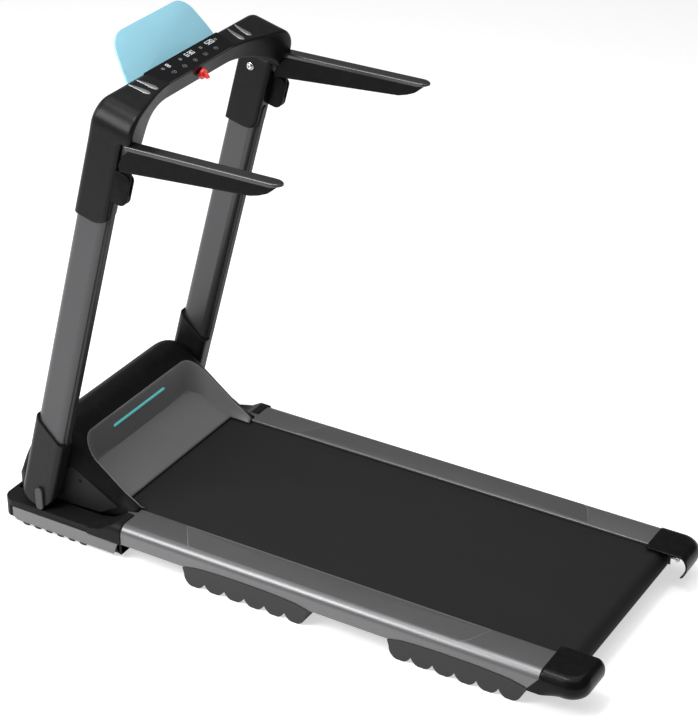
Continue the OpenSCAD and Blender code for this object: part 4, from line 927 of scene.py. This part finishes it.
# The pan is one sheet: a floor grid whose rows narrow round the back corners, and walls that rise from its
# border to the rim; ahead of the floor the walls stand alone beside the belt
def hoodPan():
    lead, rows, columns, r = 8, 30, 44, pan["floorCorner"]
    t = np.linspace(0, 1, rows)
    y = pan["floorY"] + (pan["backY"] - pan["floorY"]) * (1 - (1 - t) ** pan["crowd"])
    half = pan["floorHalf"][0] + (pan["floorHalf"][1] - pan["floorHalf"][0]) * t
    half -= r - np.sqrt(np.clip(r ** 2 - np.clip(y - (pan["backY"] - r), 0, r) ** 2, 0, None))
    x = half[:, None] * np.linspace(-1, 1, columns)[None]
    floor = np.stack([x, y[:, None] + 0 * x, panFloorHeight(y)[:, None] + 0 * x], -1)
    leadY = np.linspace(baseY, pan["floorY"], lead, endpoint=False)
    ahead = np.stack([np.full(lead, -pan["floorHalf"][0]), leadY, np.full(lead, pan["floorZ"])], -1)
    border = np.concatenate([ahead, floor[:, 0], floor[-1, 1:-1], floor[::-1, -1], ahead[::-1] * [-1, 1, 1]])
    # match the rim to the border by how far round each has come
    rim = horseshoe(pan["rimHalf"], pan["corner"], baseY, pan["rimY"], 40, 24, 60)
    around = [np.concatenate([[0], np.cumsum(np.linalg.norm(np.diff(line[:, :2], axis=0), axis=1))])
              for line in (border, rim)]
    place = around[0] / around[0][-1] * around[1][-1]
    rim = np.stack([np.interp(place, around[1], rim[:, k]) for k in (0, 1)], -1)
    rimZ = hoodHeight(rim[:, 0], rim[:, 1])
    middle = np.array([0, pan["floorY"]])
    inward = middle - rim
    inward /= np.linalg.norm(inward, axis=1)[:, None]
    wall = [np.concatenate([rim + inward * inset * mm, (rimZ + rise * mm)[:, None]], -1)
            for inset, rise in pan["bead"]]
    start = wall[-1]
    for k in np.linspace(0, 1, 12)[1:]:
        p = start + (border - start) * k
        p[:, :2] += (rim - border[:, :2]) * pan["bow"] * k * (1 - k)
        wall.append(p)
    shell = bmesh.new()
    for name, grid in (("panWall", np.stack(wall)), ("panFloor", floor)):
        sheet = gridMesh(name, grid, wrap=False, capped=False, outward=False)
        shell.from_mesh(sheet)
    bmesh.ops.remove_doubles(shell, verts=shell.verts, dist=1e-6)
    bmesh.ops.recalc_face_normals(shell, faces=shell.faces)
    mesh = bpy.data.meshes.new("hoodPan")
    shell.to_mesh(mesh)
    shell.free()
    if sum(face.normal.z * face.area for face in mesh.polygons) < 0:
        mesh.flip_normals()
    piece = dress("hoodPan", mesh, "pan_grey", "frame", ("hood_pan",), sharp=50)
    solid = piece.modifiers.new("wall", "SOLIDIFY")
    solid.thickness, solid.offset = pan["wall"], -1


# Light lens: a rounded strip lying on the pan's back wall
def lightLens():
    foot, head = np.array([pan["backY"], pan["backZ"]]), np.array([pan["rimY"], pan["rimZ"]])
    up = (head - foot) / np.linalg.norm(head - foot)
    centre = foot + (head - foot) * (pan["lightZ"] - pan["backZ"]) / (pan["rimZ"] - pan["backZ"])

    def onWall(a, b, out):
        return np.stack([a, centre[0] + b * up[0] - out * up[1], centre[1] + b * up[1] + out * up[0]], -1)

    w, h = pan["light"]
    loop = roundedLoop([(-w, -h), (w, -h), (w, h), (-w, h)], [h * 0.95] * 4, 8)
    mesh = slab("lightLens", loop, -2 * mm, 2.6 * mm, 1.2 * mm, onWall)
    dress("lightLens", mesh, "light_lens", "frame", ("light_bar",), sharp=50)


hoodShell()
hoodPan()
lightLens()
print("hood made")


# Bevel widths in mm for the CAD shapes that only need their edges rounded
edges = dict(boot_left=2.2, boot_right=2.2, latch_left=2.0, latch_right=2.0, base_platform=1.6,
             skirt_left=0.8, skirt_right=0.8, foot_mid_left=0.8, foot_mid_right=0.8, foot_rear_left=0.8,
             foot_rear_right=0.8, foot_base_left=1.2, foot_base_right=1.2, gusset_left=0.8,
             gusset_right=0.8, safety_key=1.2, spine_left=1.5, spine_right=1.5, display_panel=0.25)
for node, width in edges.items():
    softened(node, width * mm, 3 if width > 1.4 else 2)
print("edges rounded:", len(edges))


# Lamps: name, place, target, size and watts
studio = dict(floor=(0.6, 0.6, 0.6), glow=0.58, world=0.24, reach=30, eye=(-3.3435, -1.9888, 2.6410),
              yaw=30.667, pitch=29.482, lens=112.04,
              lamps=(("overhead", (0.2, 0.1, 3.4), (0, 0, 0), (3.6, 3.6), 74),
                     ("crown", (-0.4, 0.15, 3.0), (-0.1, 0.1, 0.6), (0.6, 0.6), 26),
                     ("shoulder", (-1.72, 1.3, 1.85), (-0.25, 1.3, 0.1), (1.7, 0.9), 58),
                     ("edge", (-1.3, 0.75, 2.2), (-0.27, 0.75, 0.94), (1.5, 0.5), 12),
                     ("front", (-0.6, 3.0, 1.7), (0, 0.4, 0.5), (2.2, 1.6), 22),
                     ("side", (-3.6, 0.4, 1.6), (0, 0.2, 0.4), (1.2, 2.0), 6)))
reach = studio["reach"]
mesh = bpy.data.meshes.new("floor")
corners = [(-reach, -reach, 0), (reach, -reach, 0), (reach, reach, 0), (-reach, reach, 0)]
mesh.from_pydata(corners, [], [(0, 1, 2, 3)])
ground = bpy.data.objects.new("floor", mesh)
f = Finish("studioFloor")
tone = f.noise(0.7, 2)
tint = f.blend(tone, shade(studio["floor"], 0.995), shade(studio["floor"], 1.005))
mesh.materials.append(f.surface(Base_Color=tint, Roughness=0.8 + tone * 0.05, Specular_IOR_Level=0.1,
                                Emission_Color=(1, 1, 1, 1), Emission_Strength=studio["glow"]))
bpy.context.scene.collection.objects.link(ground)

world = bpy.data.worlds.new("studio")
world.use_nodes = True
world.node_tree.nodes["Background"].inputs[0].default_value = (1, 1, 1, 1)
world.node_tree.nodes["Background"].inputs[1].default_value = studio["world"]
bpy.context.scene.world = world
bpy.context.scene.view_settings.view_transform = "Standard"
for name, place, target, size, power in studio["lamps"]:
    lamp = bpy.data.lights.new(name, "AREA")
    lamp.shape, lamp.size, lamp.size_y, lamp.energy = "RECTANGLE", size[0], size[1], power
    holder = bpy.data.objects.new(name, lamp)
    holder.location = place
    holder.rotation_euler = (Vector(target) - Vector(place)).to_track_quat("-Z", "Y").to_euler()
    bpy.context.scene.collection.objects.link(holder)

yaw, pitch = math.radians(studio["yaw"]), math.radians(studio["pitch"])
camera = bpy.data.objects.new("camera", bpy.data.cameras.new("camera"))
camera.data.lens, camera.data.sensor_width = studio["lens"], 36
camera.data.clip_end = 100
camera.location = studio["eye"]
look = Vector((math.cos(yaw) * math.cos(pitch), math.sin(yaw) * math.cos(pitch), -math.sin(pitch)))
camera.rotation_euler = look.to_track_quat("-Z", "Y").to_euler()
bpy.context.scene.collection.objects.link(camera)
bpy.context.scene.camera = camera
print("stage set")

bpy.context.view_layer.update()
